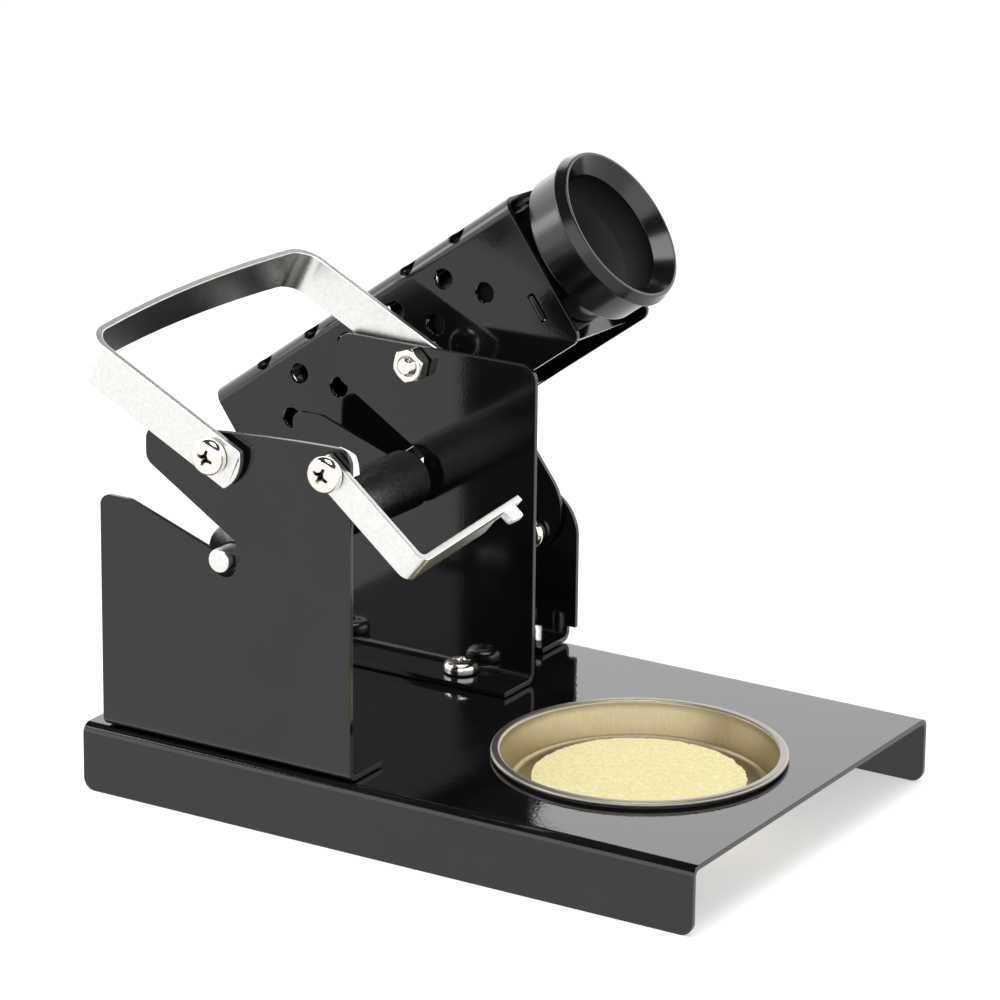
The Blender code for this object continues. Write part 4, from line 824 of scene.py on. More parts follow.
def build_base():
    path = [(BASE_DEPTH, 0, 0), (BASE_DEPTH, BASE_TOP, BEND), (0, BASE_TOP, BEND), (0, 0, 0)]
    item = blank("base_sheet", solid_outline("base_sheet", folded(path, SHEET), BASE_LENGTH), SIDE_VIEW)
    corners = [(0, 0, BASE_CORNER), (BASE_LENGTH, 0, BASE_CORNER), (BASE_LENGTH, BASE_TOP + OVER, 0),
               (0, BASE_TOP + OVER, 0)]
    keep(item, rounded(corners), (BASE_DEPTH + 2 * OVER, -BASE_DEPTH - OVER), FRONT_VIEW)
    below = BASE_TOP - 2 * SHEET
    cut(item, cylinder("tin_hole", TIN_MOUTH + GAP, 3 * SHEET, at(TIN_X, TIN_Y, below), TURNED_STEPS))
    for x, y in foot_places():
        cut(item, cylinder("foot_hole", M4 + CLEAR, 3 * SHEET, at(x, y, below)))
    for x, y in bracket_places():
        cut(item, cylinder("bracket_hole", M3 + CLEAR, 3 * SHEET, at(x, y, below)))
    sheet_piece("base_sheet", item, "stand", BLACK_BASE, ["base_channel"])


def build_tin():
    """The pressed tin with its curled rim."""
    rim_low = BASE_TOP + GAP
    rim_top = rim_low + TIN_RIM_HEIGHT
    floor = rim_top - TIN_DEPTH - TIN_WALL
    curl = TIN_RIM_HEIGHT / 2
    inside = TIN_MOUTH - TIN_WALL
    centre = (TIN_FLOOR - TIN_FILLET, floor + TIN_FILLET)
    profile = [(0, floor + TIN_WALL)] + arc(centre, TIN_FILLET - TIN_WALL, -90, 0, 8)
    profile += [(inside - 0.25 * MM, rim_low - 0.9 * MM), (inside, rim_low)]
    profile += arc((inside + curl * 1.05, rim_top - curl * 1.05), curl * 1.05, 180, 100, 6)
    profile += arc((TIN_MOUTH + TIN_RIM_WIDTH - curl, rim_low + curl), curl, 90, -90, 10)
    profile += [(TIN_MOUTH + 0.1 * MM, rim_low), (TIN_MOUTH, rim_low - 0.4 * MM)]
    profile += arc(centre, TIN_FILLET, 0, -90, 8) + [(0, floor)]
    mesh = turned("tin_pan", profile, TURNED_STEPS)
    mesh.transform(at(TIN_X, TIN_Y, 0))
    finish_piece("tin_pan", mesh, "tin", TINPLATE, ["sponge_tin"], 40)
    return floor + TIN_WALL


def build_sponge(floor):
    """A dry disc of sponge: open pores over the top and a slightly torn edge."""
    bottom = floor + GAP
    top = bottom + SPONGE_THICKNESS
    work = bmesh.new()
    steps, rings = SPONGE_STEPS, SPONGE_RINGS
    grid = []
    for ring in range(1, rings + 1):
        radius = SPONGE_RADIUS * (ring / rings) ** 0.9
        grid.append([work.verts.new((radius * math.cos(2 * math.pi * i / steps),
                                     radius * math.sin(2 * math.pi * i / steps), top)) for i in range(steps)])
    for share in (0.12, 0.3, 0.6, 0.9):
        height = top - SPONGE_THICKNESS * share
        grid.append([work.verts.new((v.co.x, v.co.y, height)) for v in grid[rings - 1]])
    middle = work.verts.new((0, 0, top))
    under = work.verts.new((0, 0, bottom + 0.1 * SPONGE_THICKNESS))
    for i in range(steps):
        j = (i + 1) % steps
        work.faces.new((middle, grid[0][i], grid[0][j]))
        work.faces.new((under, grid[-1][j], grid[-1][i]))
        for low, high in zip(grid, grid[1:]):
            work.faces.new((low[i], high[i], high[j], low[j]))
    for ring in grid[rings - 3:]:
        for i, vertex in enumerate(ring):
            outward = Vector((vertex.co.x, vertex.co.y, 0)).normalized()
            torn = noise.noise(outward * 9) * 0.35 + noise.noise(vertex.co * 1400) * 0.18
            vertex.co += outward * (torn - 0.4) * MM
    for ring in grid[:rings]:
        for vertex in ring:
            dent = noise.noise(vertex.co * 700) * 0.09 + noise.noise(vertex.co * 160) * 0.08
            pore = max(0.0, noise.noise(vertex.co * 1100 + Vector((7, 3, 1))) - 0.18) * 0.5
            vertex.co.z += (dent - pore) * MM
    mesh = bpy.data.meshes.new("sponge_pad")
    bmesh.ops.recalc_face_normals(work, faces=work.faces)
    work.to_mesh(mesh)
    work.free()
    mesh.transform(at(TIN_X, TIN_Y, 0))
    pad = finish_piece("sponge_pad", mesh, "loose_sponge", CELLULOSE, ["sponge"], 70)


# ---- solder reel holder ---------------------------------------------------------------------

def plate_outline(crown):
    """The reel plate seen from the front; crown lowers the top edge towards the nose."""
    left_wall = POCKET_X - POCKET_RADIUS
    right_wall = POCKET_X + POCKET_RADIUS
    lip_end = PLATE_LEFT + SLOT_LIP
    lip_foot = PLATE_SHOULDER - (left_wall - lip_end) * math.tan(SLOT_FALL)
    below = BASE_TOP - SHEET
    lower = rounded([(PLATE_LEFT, below, 0), (PLATE_LEFT, PLATE_SHOULDER, SHOULDER_EASE),
                     (lip_end, PLATE_SHOULDER, PLATE_EASE), (left_wall, lip_foot, SLOT_EDGE),
                     (left_wall, below, 0)])
    crest = [(PLATE_NOSE + (PLATE_RIGHT - PLATE_NOSE) * s, PLATE_TOP - crown * (1 - s) ** 2, 0)
             for s in (0.3, 0.45, 0.6, 0.75, 0.88)]
    upper = rounded([(right_wall, below, 0), (right_wall, POCKET_MOUTH, SLOT_EDGE),
                     (PLATE_NOSE, SLOT_UPPER, PLATE_EASE), (PLATE_NOSE, PLATE_TOP - crown, PLATE_EASE)] + crest
                    + [(PLATE_RIGHT, PLATE_TOP, PLATE_CORNER), (PLATE_RIGHT, below, 0)])
    return lower[:-1] + arc((POCKET_X, ROD_Z), POCKET_RADIUS, 180, 360) + upper[1:]


def build_reel_plate(name, node, outer_y, foot_end, holes, crown):
    low = BASE_TOP + GAP
    path = [(foot_end, low, 0), (outer_y, low, BEND), (outer_y, PLATE_TOP + SHEET, 0)]
    if foot_end > outer_y:
        path = path[::-1]
    section = solid_outline(name, folded(path, SHEET), PLATE_RIGHT - PLATE_LEFT + 2 * OVER, -OVER)
    item = blank(name, section, at(PLATE_LEFT, 0, 0) @ SIDE_VIEW)
    start = min(outer_y, foot_end) - OVER
    keep(item, plate_outline(crown), (PLATE_FOOT + 2 * OVER, -start - PLATE_FOOT - 2 * OVER), FRONT_VIEW)
    for x, z in holes:
        cut(item, cylinder("pivot_hole", M4 + CLEAR, 2 * OVER, at(x, outer_y - OVER, z) @ REARWARD))
    for x, y in foot_places():
        if abs(y - outer_y) < PLATE_FOOT:
            cut(item, cylinder("foot_hole", M4 + CLEAR, 2 * OVER, at(x, y, BASE_TOP - SHEET)))
    sheet_piece(name, item, "stand", BLACK, [node])


def build_rod_and_roller():
    tilt = math.atan(ROD_RISE / (PLATE_SPACING - SHEET))
    place = at(POCKET_X, PLATE_FRONT + SHEET / 2, ROD_Z + ROD_RISE) @ Matrix.Rotation(-tilt, 4, "X") @ REARWARD
    length = PLATE_SPACING + 2 * ROD_OVERHANG
    edge = ROD_EASE
    ends = [(0, length), (ROD_RADIUS - edge, length)] + arc((ROD_RADIUS - edge, length - edge), edge, 80, 0, 5)
    ends += arc((ROD_RADIUS - edge, edge), edge, 0, -80, 5) + [(ROD_RADIUS - edge, 0), (0, 0)]
    rod = turned("rod_bar", ends, 64)
    rod.transform(place @ at(0, 0, -SHEET / 2 - ROD_OVERHANG))
    finish_piece("rod_bar", rod, "rod", ZINC, ["reel_rod"], 50)
    tube = PLATE_SPACING - 2 * SHEET - ROLLER_FRONT_GAP - ROLLER_REAR_GAP
    bore = ROD_RADIUS + CLEAR
    inner = ROLLER_RADIUS - ROLLER_WALL
    edge = ROLLER_EASE
    profile = [(bore, tube)] + arc((ROLLER_RADIUS - edge, tube - edge), edge, 90, 0, 6)
    profile += arc((ROLLER_RADIUS - edge, edge), edge, 0, -90, 6)
    profile += [(bore, 0), (bore, ROLLER_LIP), (inner, ROLLER_LIP), (inner, tube - ROLLER_LIP),
                (bore, tube - ROLLER_LIP)]
    roller = turned("roller_tube", profile, 96)
    roller.transform(place @ at(0, 0, SHEET / 2 + ROLLER_FRONT_GAP))
    finish_piece("roller_tube", roller, "roller", TUBE, ["reel_roller"], 40)


def strap_end(far, tip, width):
    """A strap's end with a flat curve, and its two sides left open."""
    bulge = width * 0.16
    radius = (bulge ** 2 + (width / 2) ** 2) / (2 * bulge)
    half = math.degrees(math.asin(0.6 * width / radius))
    beside = 0.6 * width
    return arc((radius - tip, 0), radius, 180 - half, 180 + half, 24) + [(far, -beside), (far, beside)]


def bail_frame():
    """The bail's own frame on its pivot line: X along the legs, Y along the line."""
    line = (BAIL_REAR_HOLE - BAIL_FRONT_HOLE).normalized()
    leg = Vector((math.cos(BAIL_ANGLE), 0, math.sin(BAIL_ANGLE)))
    leg = (leg - line * leg.dot(line)).normalized()
    turn = Matrix((leg, line, leg.cross(line))).transposed().to_4x4()
    return Matrix.Translation(BAIL_FRONT_HOLE - line * PLATE_FRONT) @ turn


def build_bail():
    front = PLATE_FRONT - BAIL_PLAY - BAIL_THICKNESS
    rear = PLATE_REAR + BAIL_PLAY + BAIL_THICKNESS
    span = rear - front
    outer = BAIL_REACH + BAIL_THICKNESS / 2
    radius = (BAIL_BOW ** 2 + (span / 2) ** 2) / (2 * BAIL_BOW)
    swing = math.degrees(math.asin(span / 2 / radius))
    bow = arc((outer + BAIL_BOW - radius, (front + rear) / 2), radius, -swing, swing, 12)
    far = -BAIL_TIP - BAIL_WIDTH
    path = [(far, front, 0), (outer, front, BAIL_BEND)] + [(x, y, 0) for x, y in bow[1:-1]]
    path += [(outer, rear, BAIL_BEND), (far, rear, 0)]
    frame_here = bail_frame()
    strap = solid_outline("bail_strap", folded(path, BAIL_THICKNESS, 14), BAIL_WIDTH, -BAIL_WIDTH / 2)
    item = blank("bail_strap", strap, frame_here)
    over = 2 * BAIL_THICKNESS
    keep(item, strap_end(outer + 2 * BAIL_BOW, BAIL_TIP, BAIL_WIDTH), (span + 2 * over, -rear - over),
         frame_here @ FRONT_VIEW)
    place = frame_here @ at(0, front - over, 0) @ REARWARD
    cut(item, cylinder("bail_hole", M4 + CLEAR, span + 2 * over, place))
    sheet_piece("bail_strap", item, "carrying_bail", ZINC, ["bail"], STRAP_EDGE, 3)


def build_guide():
    front = PLATE_FRONT - GAP - GUIDE_THICKNESS
    corner = GUIDE_REACH + GUIDE_THICKNESS / 2
    lean = math.tan(GUIDE_OVERBEND)
    end = front + GUIDE_RUN
    half = GUIDE_WIDTH / 2
    path = [(-GUIDE_TIP - GUIDE_WIDTH, front, 0), (corner, front, GUIDE_BEND),
            (corner - GUIDE_RUN * lean, end, 0)]
    swing = at(GUIDE_X, 0, GUIDE_Z) @ Matrix.Rotation(-GUIDE_ANGLE, 4, "Y")
    strap = solid_outline("guide_strap", folded(path, GUIDE_THICKNESS), GUIDE_WIDTH, -half)
    item = blank("guide_strap", strap, swing)
    over = 2 * GUIDE_THICKNESS
    keep(item, strap_end(corner + over, GUIDE_TIP, GUIDE_WIDTH), (GUIDE_RUN + 2 * over, -end - over),
         swing @ FRONT_VIEW)
    toe = rounded([(end - GUIDE_TOE, -GUIDE_WIDTH, 0), (end + over, -GUIDE_WIDTH, 0),
                   (end + over, half - GUIDE_TOE_WIDTH * 0.6, 0), (end - GUIDE_TOE, half - GUIDE_TOE_WIDTH, 0)])
    cut(item, blank("guide_toe", solid_outline("guide_toe", toe, 4 * GUIDE_REACH), swing @ SIDE_VIEW))
    start = end - GUIDE_TAB_START
    outer_face = corner - (start - front) * lean
    stop = start + GUIDE_TAB_LENGTH
    root = outer_face - GUIDE_THICKNESS / 2
    tip = outer_face + GUIDE_TAB_REACH
    tab = rounded([(root, start, 0), (tip, start, GUIDE_TAB_EASE), (tip, stop, GUIDE_TAB_EASE),
                   (root, stop, 0)])
    leaf = solid_outline("guide_tab", tab, GUIDE_THICKNESS, half - GUIDE_THICKNESS - 0.2 * MM)
    cut(item, blank("guide_tab", leaf, swing), "UNION")
    place = at(GUIDE_X, front - over, GUIDE_Z) @ REARWARD
    cut(item, cylinder("guide_hole", M4 + CLEAR, 2 * over, place))
    sheet_piece("guide_strap", item, "wire_guide", ZINC, ["guide_arm"], GUIDE_EDGE)


# ---- rear bracket and iron holder -----------------------------------------------------------

def build_rear_bracket():
    low = BASE_TOP + GAP
    half = BRACKET_WIDTH / 2
    path = [(BASE_DEPTH - BRACKET_FOOT, low, 0), (BASE_DEPTH, low, BEND), (BASE_DEPTH, TILT_Z + half + OVER, 0)]
    section = solid_outline("bracket_sheet", folded(path, SHEET), BRACKET_WIDTH + 2 * OVER, -half - OVER)
    item = blank("bracket_sheet", section, at(BRACKET_X, 0, 0) @ SIDE_VIEW)
    foot = half - BRACKET_INSET
    shelf = low + SHEET + 2 * BEND
    below = low - OVER
    outline = arc((BRACKET_X, TILT_Z), half, 0, 180, 56)
    outline += [(BRACKET_X - half, shelf), (BRACKET_X - foot, shelf), (BRACKET_X - foot, below),
                (BRACKET_X + foot, below), (BRACKET_X + foot, shelf), (BRACKET_X + half, shelf)]
    keep(item, outline, (BRACKET_FOOT + 2 * OVER, -BASE_DEPTH - OVER), FRONT_VIEW)
    place = at(BRACKET_X, BASE_DEPTH - 3 * SHEET, TILT_Z) @ REARWARD
    cut(item, cylinder("tilt_hole", M4 + CLEAR, 5 * SHEET, place))
    for x, y in bracket_places():
        cut(item, cylinder("foot_hole", M3 + CLEAR, 2 * OVER, at(x, y, BASE_TOP - SHEET)))
    sheet_piece("bracket_sheet", item, "stand", BLACK, ["rear_bracket"])


HOLDER = Matrix.Translation(MOUTH) @ Matrix.Rotation(HOLDER_YAW, 4, "Z") @ Matrix.Rotation(-HOLDER_TILT, 4, "Y")
HOLDER = HOLDER @ Matrix.Rotation(-HOLDER_ROLL, 4, "X")
ACROSS = HOLDER @ FRONT_VIEW
ALONG = HOLDER @ SIDE_VIEW


def tongue_blank():
    """The strip from the rear wall's edge, under the channel and down to the tilt screw."""
    half = HOLDER_WIDTH / 2
    middle = -(TONGUE_RIGHT + TONGUE_WIDTH / 2)
    hang = at(BRACKET_X, 0, TILT_Z) @ Matrix.Rotation(-HOLDER_TILT, 4, "Y")
    to_hang = hang.inverted() @ HOLDER
    wall = to_hang @ Vector((middle, half, -HOLDER_DROP + TONGUE_RAISE))
    inner = to_hang @ Vector((middle, 0, -HOLDER_DROP + TONGUE_RAISE))
    slope = (wall.z - inner.z) / (wall.y - inner.y)
    front = TONGUE_Y - SHEET
    ledge = inner.z + SHEET + (front - inner.y) * slope
    reach = wall.y + TONGUE_WIDTH / 4
    path = [(reach, ledge + (reach - front) * slope, 0), (front, ledge, TONGUE_BEND),
            (front, TONGUE_END - TONGUE_WIDTH, 0)]
    strip = solid_outline("tongue", folded(path, SHEET), TONGUE_WIDTH + 2 * OVER, -TONGUE_WIDTH / 2 - OVER)
    item = blank("tongue", strip, hang @ SIDE_VIEW)
    outline = arc((0, TONGUE_END), TONGUE_WIDTH / 2, 180, 360, 56)
    outline += [(TONGUE_WIDTH / 2, 2 * ledge), (-TONGUE_WIDTH / 2, 2 * ledge)]
    keep(item, outline, (2 * reach, -2 * reach), hang @ FRONT_VIEW)
    beyond = rectangle(-HOLDER_LENGTH, 0, -HOLDER_DROP * 2, 0)
    trim = solid_outline("tongue_trim", rounded(beyond), TONGUE_WIDTH, -half - TONGUE_WIDTH + SHEET / 2)
    cut(item, blank("tongue_trim", trim, ACROSS))
    return item


def close_tail(item):
    """Fold a flap down from the top sheet, between slits at its sides, to close the tail."""
    half = HOLDER_WIDTH / 2 - HOLDER_BEND - SHEET
    end = -HOLDER_LENGTH
    notch = rounded(rectangle(end - OVER, end + SHEET + TAIL_BEND, HOLDER_RISE - OVER, HOLDER_RISE + OVER))
    cut(item, blank("tail_room", solid_outline("tail_room", notch, 2 * (half + GAP), -half - GAP), ACROSS))
    path = [(end + TAIL_ROOT, HOLDER_RISE, 0), (end, HOLDER_RISE, TAIL_BEND),
            (end, -HOLDER_DROP + TAIL_SHORT, 0)]
    flap = solid_outline("tail_flap", folded(path, SHEET), 2 * half, -half)
    cut(item, blank("tail_flap", flap, ACROSS), "UNION")


def shade_channel_inside(mesh):
    """Give the inner faces of the holder's channel and tail flap a black that hardly reflects, painted shade
    for the dark inside.
    """
    slack = 0.05 * MM
    to_holder = (HOME @ HOLDER).inverted()
    reach = HOLDER_WIDTH / 2 - SHEET + slack
    flap = HOLDER_WIDTH / 2 - HOLDER_BEND - SHEET + slack
    inside = []
    for vertex in mesh.vertices:
        x, y, z = to_holder @ vertex.co
        ahead = x > -HOLDER_LENGTH + SHEET - slack or abs(y) > flap
        under = -HOLDER_DROP < z < HOLDER_RISE - SHEET + slack
        inside.append(ahead and under and abs(y) < reach)
    # painted shade: the inner faces take the black that hardly reflects
    mesh.materials.append(SHADED_INSIDE_BLACK)
    for face in mesh.polygons:
        if all(inside[i] for i in face.vertices):
            face.material_index = 1


def build_iron_holder():
    half = HOLDER_WIDTH / 2
    path = [(half, -HOLDER_DROP - OVER, 0), (half, HOLDER_RISE, HOLDER_BEND), (-half, HOLDER_RISE, HOLDER_BEND),
            (-half, -HOLDER_DROP - OVER, 0)]
    section = solid_outline("holder_sheet", folded(path, SHEET), HOLDER_LENGTH + 2 * OVER,
                            -HOLDER_LENGTH - OVER)
    item = blank("holder_sheet", section, ALONG)
    corners = [(-HOLDER_LENGTH, -HOLDER_DROP, HOLDER_CORNER), (0, -HOLDER_DROP, HOLDER_CORNER),
               (0, HOLDER_RISE + OVER, 0), (-HOLDER_LENGTH, HOLDER_RISE + OVER, 0)]
    keep(item, rounded(corners), (HOLDER_WIDTH + 2 * OVER, -half - OVER), ACROSS)
    close_tail(item)
    cut(item, tongue_blank(), "UNION")
    carrier = bpy.data.meshes.new("vent_carrier")
    through = HOLDER_WIDTH + 2 * OVER
    rows = [(VENT_LOWER, VENT_FIRST, VENT_COUNT), (VENT_UPPER, VENT_FIRST + VENT_PITCH / 2, VENT_COUNT - 1)]
    for height, first, count in rows:
        punches = VENT_ROW.mesh("vents", carrier, Count=count, Pitch=VENT_PITCH, First=first,
                                Radius=VENT_RADIUS, Length=through)
        cut(item, blank("vents", punches, ACROSS @ at(0, height, 0)))
    radius = HOLDER_BEND + SHEET
    for side in (-1, 1):
        punches = VENT_ROW.mesh("bend_vents", carrier, Count=VENT_COUNT, Pitch=VENT_PITCH, First=VENT_FIRST,
                                Radius=VENT_RADIUS, Length=2 * radius)
        lean = Matrix.Rotation(-side * VENT_LEAN, 4, "X")
        centre = at(0, side * (half - radius), HOLDER_RISE - radius)
        cut(item, blank("bend_vents", punches, HOLDER @ centre @ lean @ at(0, 0, radius)))
    tab_half = TAB_LENGTH / 2 + GAP
    slot_half = SHEET / 2 + GAP
    centre = -PLATE_SET_BACK - SHEET / 2
    slot = rounded(rectangle(centre - slot_half, centre + slot_half, TAB_HEIGHT - tab_half,
                             TAB_HEIGHT + tab_half, TAB_SLOT_EASE))
    cut(item, blank("tab_slots", solid_outline("tab_slots", slot, through, -half - OVER), ACROSS))
    place = at(BRACKET_X, TONGUE_Y - 3 * SHEET, TILT_Z) @ REARWARD
    cut(item, cylinder("tongue_hole", M4 + CLEAR, 5 * SHEET, place))
    piece = sheet_piece("holder_sheet", item, "tilting_holder", BLACK, ["iron_holder"])
    shade_channel_inside(piece.data)


def build_mouth_plate():
    inside = HOLDER_WIDTH / 2 - SHEET - GAP
    tab = HOLDER_WIDTH / 2 + TAB_STAND
    top = HOLDER_RISE - SHEET - GAP
    low = TAB_HEIGHT - TAB_LENGTH / 2
    high = TAB_HEIGHT + TAB_LENGTH / 2
    ease = inside - MOUTH_PLATE_EASE
    right = [(ease, -MOUTH_PLATE_DROP, 1 * MM), (inside, low, 0), (tab, low + MOUTH_PLATE_EASE, 0),
             (tab, high - MOUTH_PLATE_EASE, 0), (inside, high, 0), (ease, top, HOLDER_BEND + GAP)]
    left = [(-x, y, radius) for x, y, radius in right[::-1]]
    mesh = solid_outline("mouth_sheet", rounded(right + left), SHEET, -PLATE_SET_BACK - SHEET)
    item = blank("mouth_sheet", mesh, ALONG)
    neck = ALONG @ at(0, 0, -PLATE_SET_BACK - 2 * SHEET)
    cut(item, cylinder("neck_hole", NECK_RADIUS + CLEAR, 3 * SHEET, neck, 96))
    sheet_piece("mouth_sheet", item, "tilting_holder", BLACK, ["mouth_plate"])


def fillet_profile(points, radius, steps=4):
    """A closed profile with every corner eased."""
    return rounded([(x, y, radius) for x, y in points], steps)


def build_funnel():
    """The turned funnel with its stepped rim, and the ring that holds its neck."""
    back = COLLAR_DEPTH
    seat = FUNNEL_REACH + PLATE_SET_BACK - GAP
    entry = HOLDER_WIDTH / 2 - SHEET - 2 * GAP
    neck_end = seat + 2 * GAP + SHEET + NECK_PAST
    loop = [(RIM_RADIUS - RIM_LIP, 0, 0.25), (RIM_RADIUS, 0.0, 0.3), (STEP_RADIUS, STEP_DEPTH - 0.2 * MM, 0.25),
            (STEP_RADIUS, STEP_DEPTH + 0.25 * MM, 0.2), (COLLAR_RADIUS, STEP_DEPTH + 0.5 * MM, 0.15),
            (COLLAR_RADIUS, back, 0.7), (entry, back, 0.1), (entry - SHOULDER_TAPER, seat, 0.4),
            (NECK_RADIUS, seat, 0.1), (NECK_RADIUS, neck_end, 0.3), (THROAT_RADIUS, neck_end, 0.2),
            (THROAT_RADIUS, neck_end - NECK_PAST, 0.4), (BORE_RADIUS, BORE_DEPTH, 0.5),
            (CONE_RADIUS, CONE_DEPTH, 0.35)]
    profile = rounded([(radius, -depth, ease * MM) for radius, depth, ease in loop], 5)
    facing = Matrix.Rotation(math.pi / 2, 4, "Y")
    mesh = turned("funnel_moulding", profile, 144)
    matt = mesh.attributes.new("matt", "FLOAT", "POINT")
    for i, vertex in enumerate(mesh.vertices):
        inside = math.hypot(vertex.co.x, vertex.co.y) < BORE_RADIUS + 0.6 * MM
        matt.data[i].value = 1.0 if inside and -neck_end + 0.5 * MM < vertex.co.z < -CONE_DEPTH else 0.0
    mesh.transform(HOLDER @ at(FUNNEL_REACH, 0, 0) @ facing)
    finish_piece("funnel_moulding", mesh, "tilting_holder", BAKELITE, ["funnel"], 50)
    grip = NECK_RADIUS + GAP
    ring = fillet_profile([(grip, RING_THICKNESS), (grip + RING_WIDTH, RING_THICKNESS), (grip + RING_WIDTH, 0),
                           (grip, 0)], 0.3 * MM)
    behind = -PLATE_SET_BACK - SHEET - GAP - RING_THICKNESS
    clip = turned("neck_ring", ring, 96)
    clip.transform(HOLDER @ at(behind, 0, 0) @ facing)
    finish_piece("neck_ring", clip, "tilting_holder", BAKELITE, ["funnel_ring"], 40)


build_base()
build_sponge(build_tin())
BAIL_HOLES = [[(hole.x, hole.z)] for hole in (BAIL_FRONT_HOLE, BAIL_REAR_HOLE)]
build_reel_plate("front_plate", "reel_plate_front", PLATE_FRONT, PLATE_FRONT + PLATE_FOOT,
                 BAIL_HOLES[0] + [(GUIDE_X, GUIDE_Z)], FRONT_CROWN)
build_reel_plate("rear_plate", "reel_plate_rear", PLATE_REAR, PLATE_REAR - PLATE_FOOT,
                 BAIL_HOLES[1], REAR_CROWN)
build_rod_and_roller()
build_bail()
build_guide()
build_rear_bracket()
build_iron_holder()
build_mouth_plate()
build_funnel()
build_fasteners()
for item in list(WORKSHOP.objects):
    bpy.data.objects.remove(item)
bpy.data.collections.remove(WORKSHOP)


# ---- stage, light and camera ----------------------------------------------------------------

def floor_material():
    """A white surface that keeps the shadow, and shows white in gloss."""
    material, t, shader, _ = new_material("white_surface")
    t.feed(shader.inputs["Base Color"], TABLE_WHITE)
    shader.inputs["Roughness"].default_value = 1.0
    shader.inputs["Specular IOR Level"].default_value = 0.0
    path = t.add("ShaderNodeLightPath")
    camera = path.outputs["Is Camera Ray"]
    gloss = path.outputs["Is Glossy Ray"]
    glow = t.add("ShaderNodeEmission", {"Color": WHITE, "Strength": FLOOR_IN_GLOSS})
    bright = t.add("ShaderNodeEmission", {"Color": WHITE, "Strength": FLOOR_LIFT})
    lifted = t.add("ShaderNodeAddShader", {0: shader.outputs[0], 1: bright.outputs[0]})
    seen = t.add("ShaderNodeMixShader", {0: camera, 1: shader.outputs[0], 2: lifted.outputs[0]})
    mixed = t.add("ShaderNodeMixShader", {0: gloss, 1: seen.outputs[0], 2: glow.outputs[0]})
    output = material.node_tree.nodes["Material Output"]
    t.feed(output.inputs["Surface"], mixed.outputs[0])
    return material


def build_stage():
    mesh = bpy.data.meshes.new("table_surface")
    half = TABLE_HALF
    corners = [(-half, -half, 0), (half, -half, 0), (half, half, 0), (-half, half, 0)]
    mesh.from_pydata(corners, [], [(0, 1, 2, 3)])
    mesh.materials.append(floor_material())
    table = bpy.data.objects.new("table_surface", mesh)
    bpy.context.scene.collection.objects.link(table)


def build_world():
    """A white surround for the camera, and for gloss a white back wall under a dark ceiling."""
    world = bpy.data.worlds.new("studio")
    bpy.context.scene.world = world
    world.use_nodes = True
    t = Tree(world.node_tree)
    for node in list(world.node_tree.nodes):
        world.node_tree.nodes.remove(node)
    split = t.add("ShaderNodeSeparateXYZ", {0: t.add("ShaderNodeTexCoord").outputs["Generated"]})
    height = split.outputs[2]
    wall = t.add("ShaderNodeMapRange", {"Value": height, "From Min": WALL_TOP, "From Max": WALL_TOP + WALL_FADE,
                                        "To Min": WALL_IN_GLOSS, "To Max": CEILING_IN_GLOSS},
                 interpolation_type="SMOOTHSTEP").outputs[0]
    path = t.add("ShaderNodeLightPath")
    seen = t.add("ShaderNodeMix", {0: path.outputs["Is Glossy Ray"], 2: ROOM_LIGHT, 3: wall}).outputs[0]
    seen = t.add("ShaderNodeMix", {0: path.outputs["Is Camera Ray"], 2: seen, 3: 1.0}).outputs[0]
    shade = t.add("ShaderNodeBackground", {"Color": WHITE, "Strength": seen})
    t.feed(t.add("ShaderNodeOutputWorld").inputs["Surface"], shade.outputs[0])


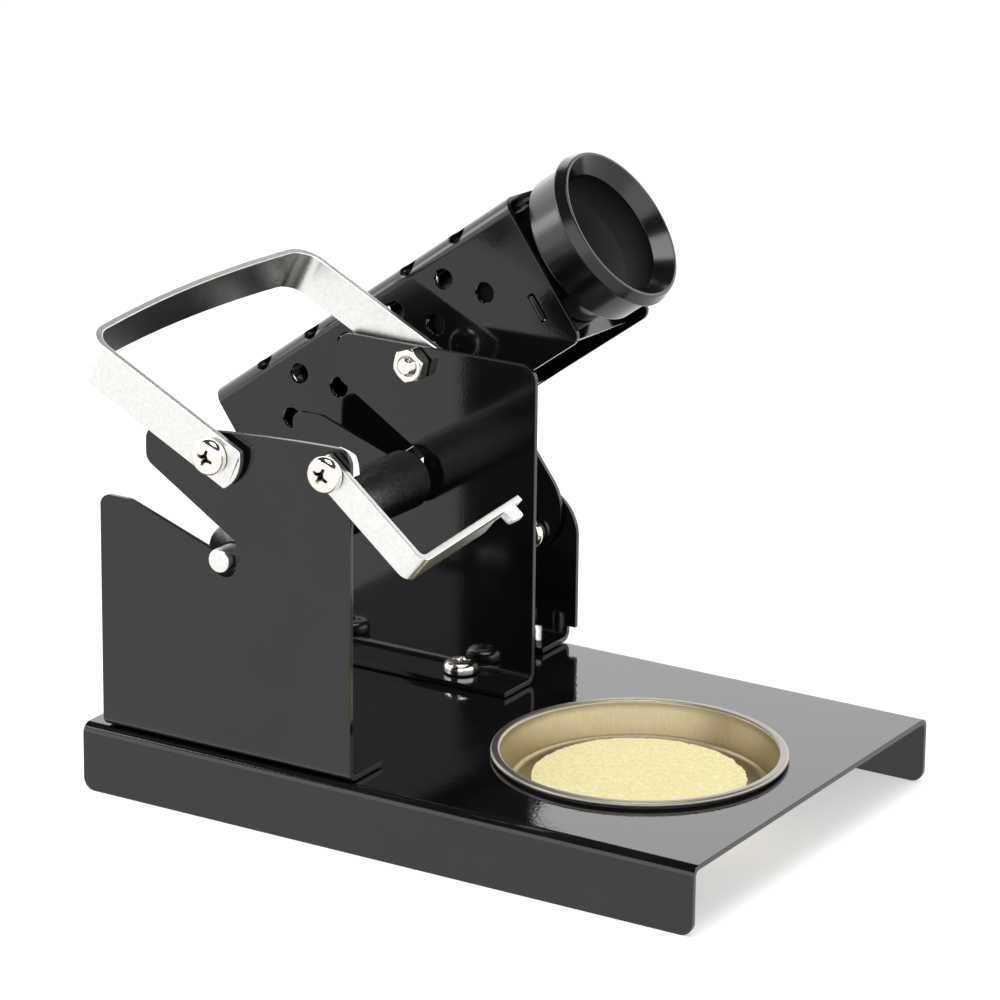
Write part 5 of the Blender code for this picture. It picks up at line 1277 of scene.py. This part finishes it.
def softbox(name, place, target, width, height, power):
    light = bpy.data.lights.new(name, "AREA")
    light.shape = "RECTANGLE"
    light.size, light.size_y = width, height
    light.energy = power
    item = bpy.data.objects.new(name, light)
    bpy.context.scene.collection.objects.link(item)
    item.location = place
    item.rotation_euler = (Vector(target) - Vector(place)).to_track_quat("-Z", "Y").to_euler()


def build_camera():
    azimuth, elevation, roll = (math.radians(a) for a in (CAMERA_AZIMUTH, CAMERA_ELEVATION, CAMERA_ROLL))
    back = Vector((math.sin(azimuth) * math.cos(elevation), -math.cos(azimuth) * math.cos(elevation),
                   math.sin(elevation)))
    level = Vector((math.cos(azimuth), math.sin(azimuth), 0))
    upright = back.cross(level)
    right = math.cos(roll) * level + math.sin(roll) * upright
    up = -math.sin(roll) * level + math.cos(roll) * upright
    place = right * CAMERA_RIGHT + up * CAMERA_UP + back * CAMERA_DISTANCE
    data = bpy.data.cameras.new("camera")
    data.lens = CAMERA_LENS
    data.sensor_width = SENSOR_WIDTH
    data.clip_start, data.clip_end = 0.05, 50
    camera = bpy.data.objects.new("camera", data)
    bpy.context.scene.collection.objects.link(camera)
    turn = Matrix((right, up, back)).transposed().to_4x4()
    camera.matrix_world = HOME @ Matrix.Translation(place) @ turn
    bpy.context.scene.camera = camera


FLOOR_IN_GLOSS = 1.25
FLOOR_LIFT = 0.5
WALL_TOP = 0.5                      # sine of the height where the white wall ends
WALL_IN_GLOSS = 2.15
CEILING_IN_GLOSS = 0.06
ROOM_LIGHT = 0.55
CAMERA_AZIMUTH, CAMERA_ELEVATION, CAMERA_ROLL = 31.34, 17.83, 0.67
CAMERA_RIGHT, CAMERA_UP, CAMERA_DISTANCE = 89.53 * MM, 62.06 * MM, 1024.51 * MM
CAMERA_LENS, SENSOR_WIDTH = 171.42, 36
TABLE_HALF = 6.0                    # metres from the middle of the table to its edge
WALL_FADE = 0.12
WHITE = (1, 1, 1, 1)
TABLE_WHITE = (0.8, 0.8, 0.8, 1)

build_stage()
build_world()
softbox("overhead_softbox", place=(0.1, -0.1, 0.9), target=(0, 0, 0.03), width=0.5, height=0.5, power=4.0)
softbox("side_softbox", place=(-0.8, -0.5, 0.6), target=(0, 0, 0.05), width=0.4, height=0.5, power=2.5)
build_camera()
bpy.context.scene.view_settings.view_transform = "Standard"
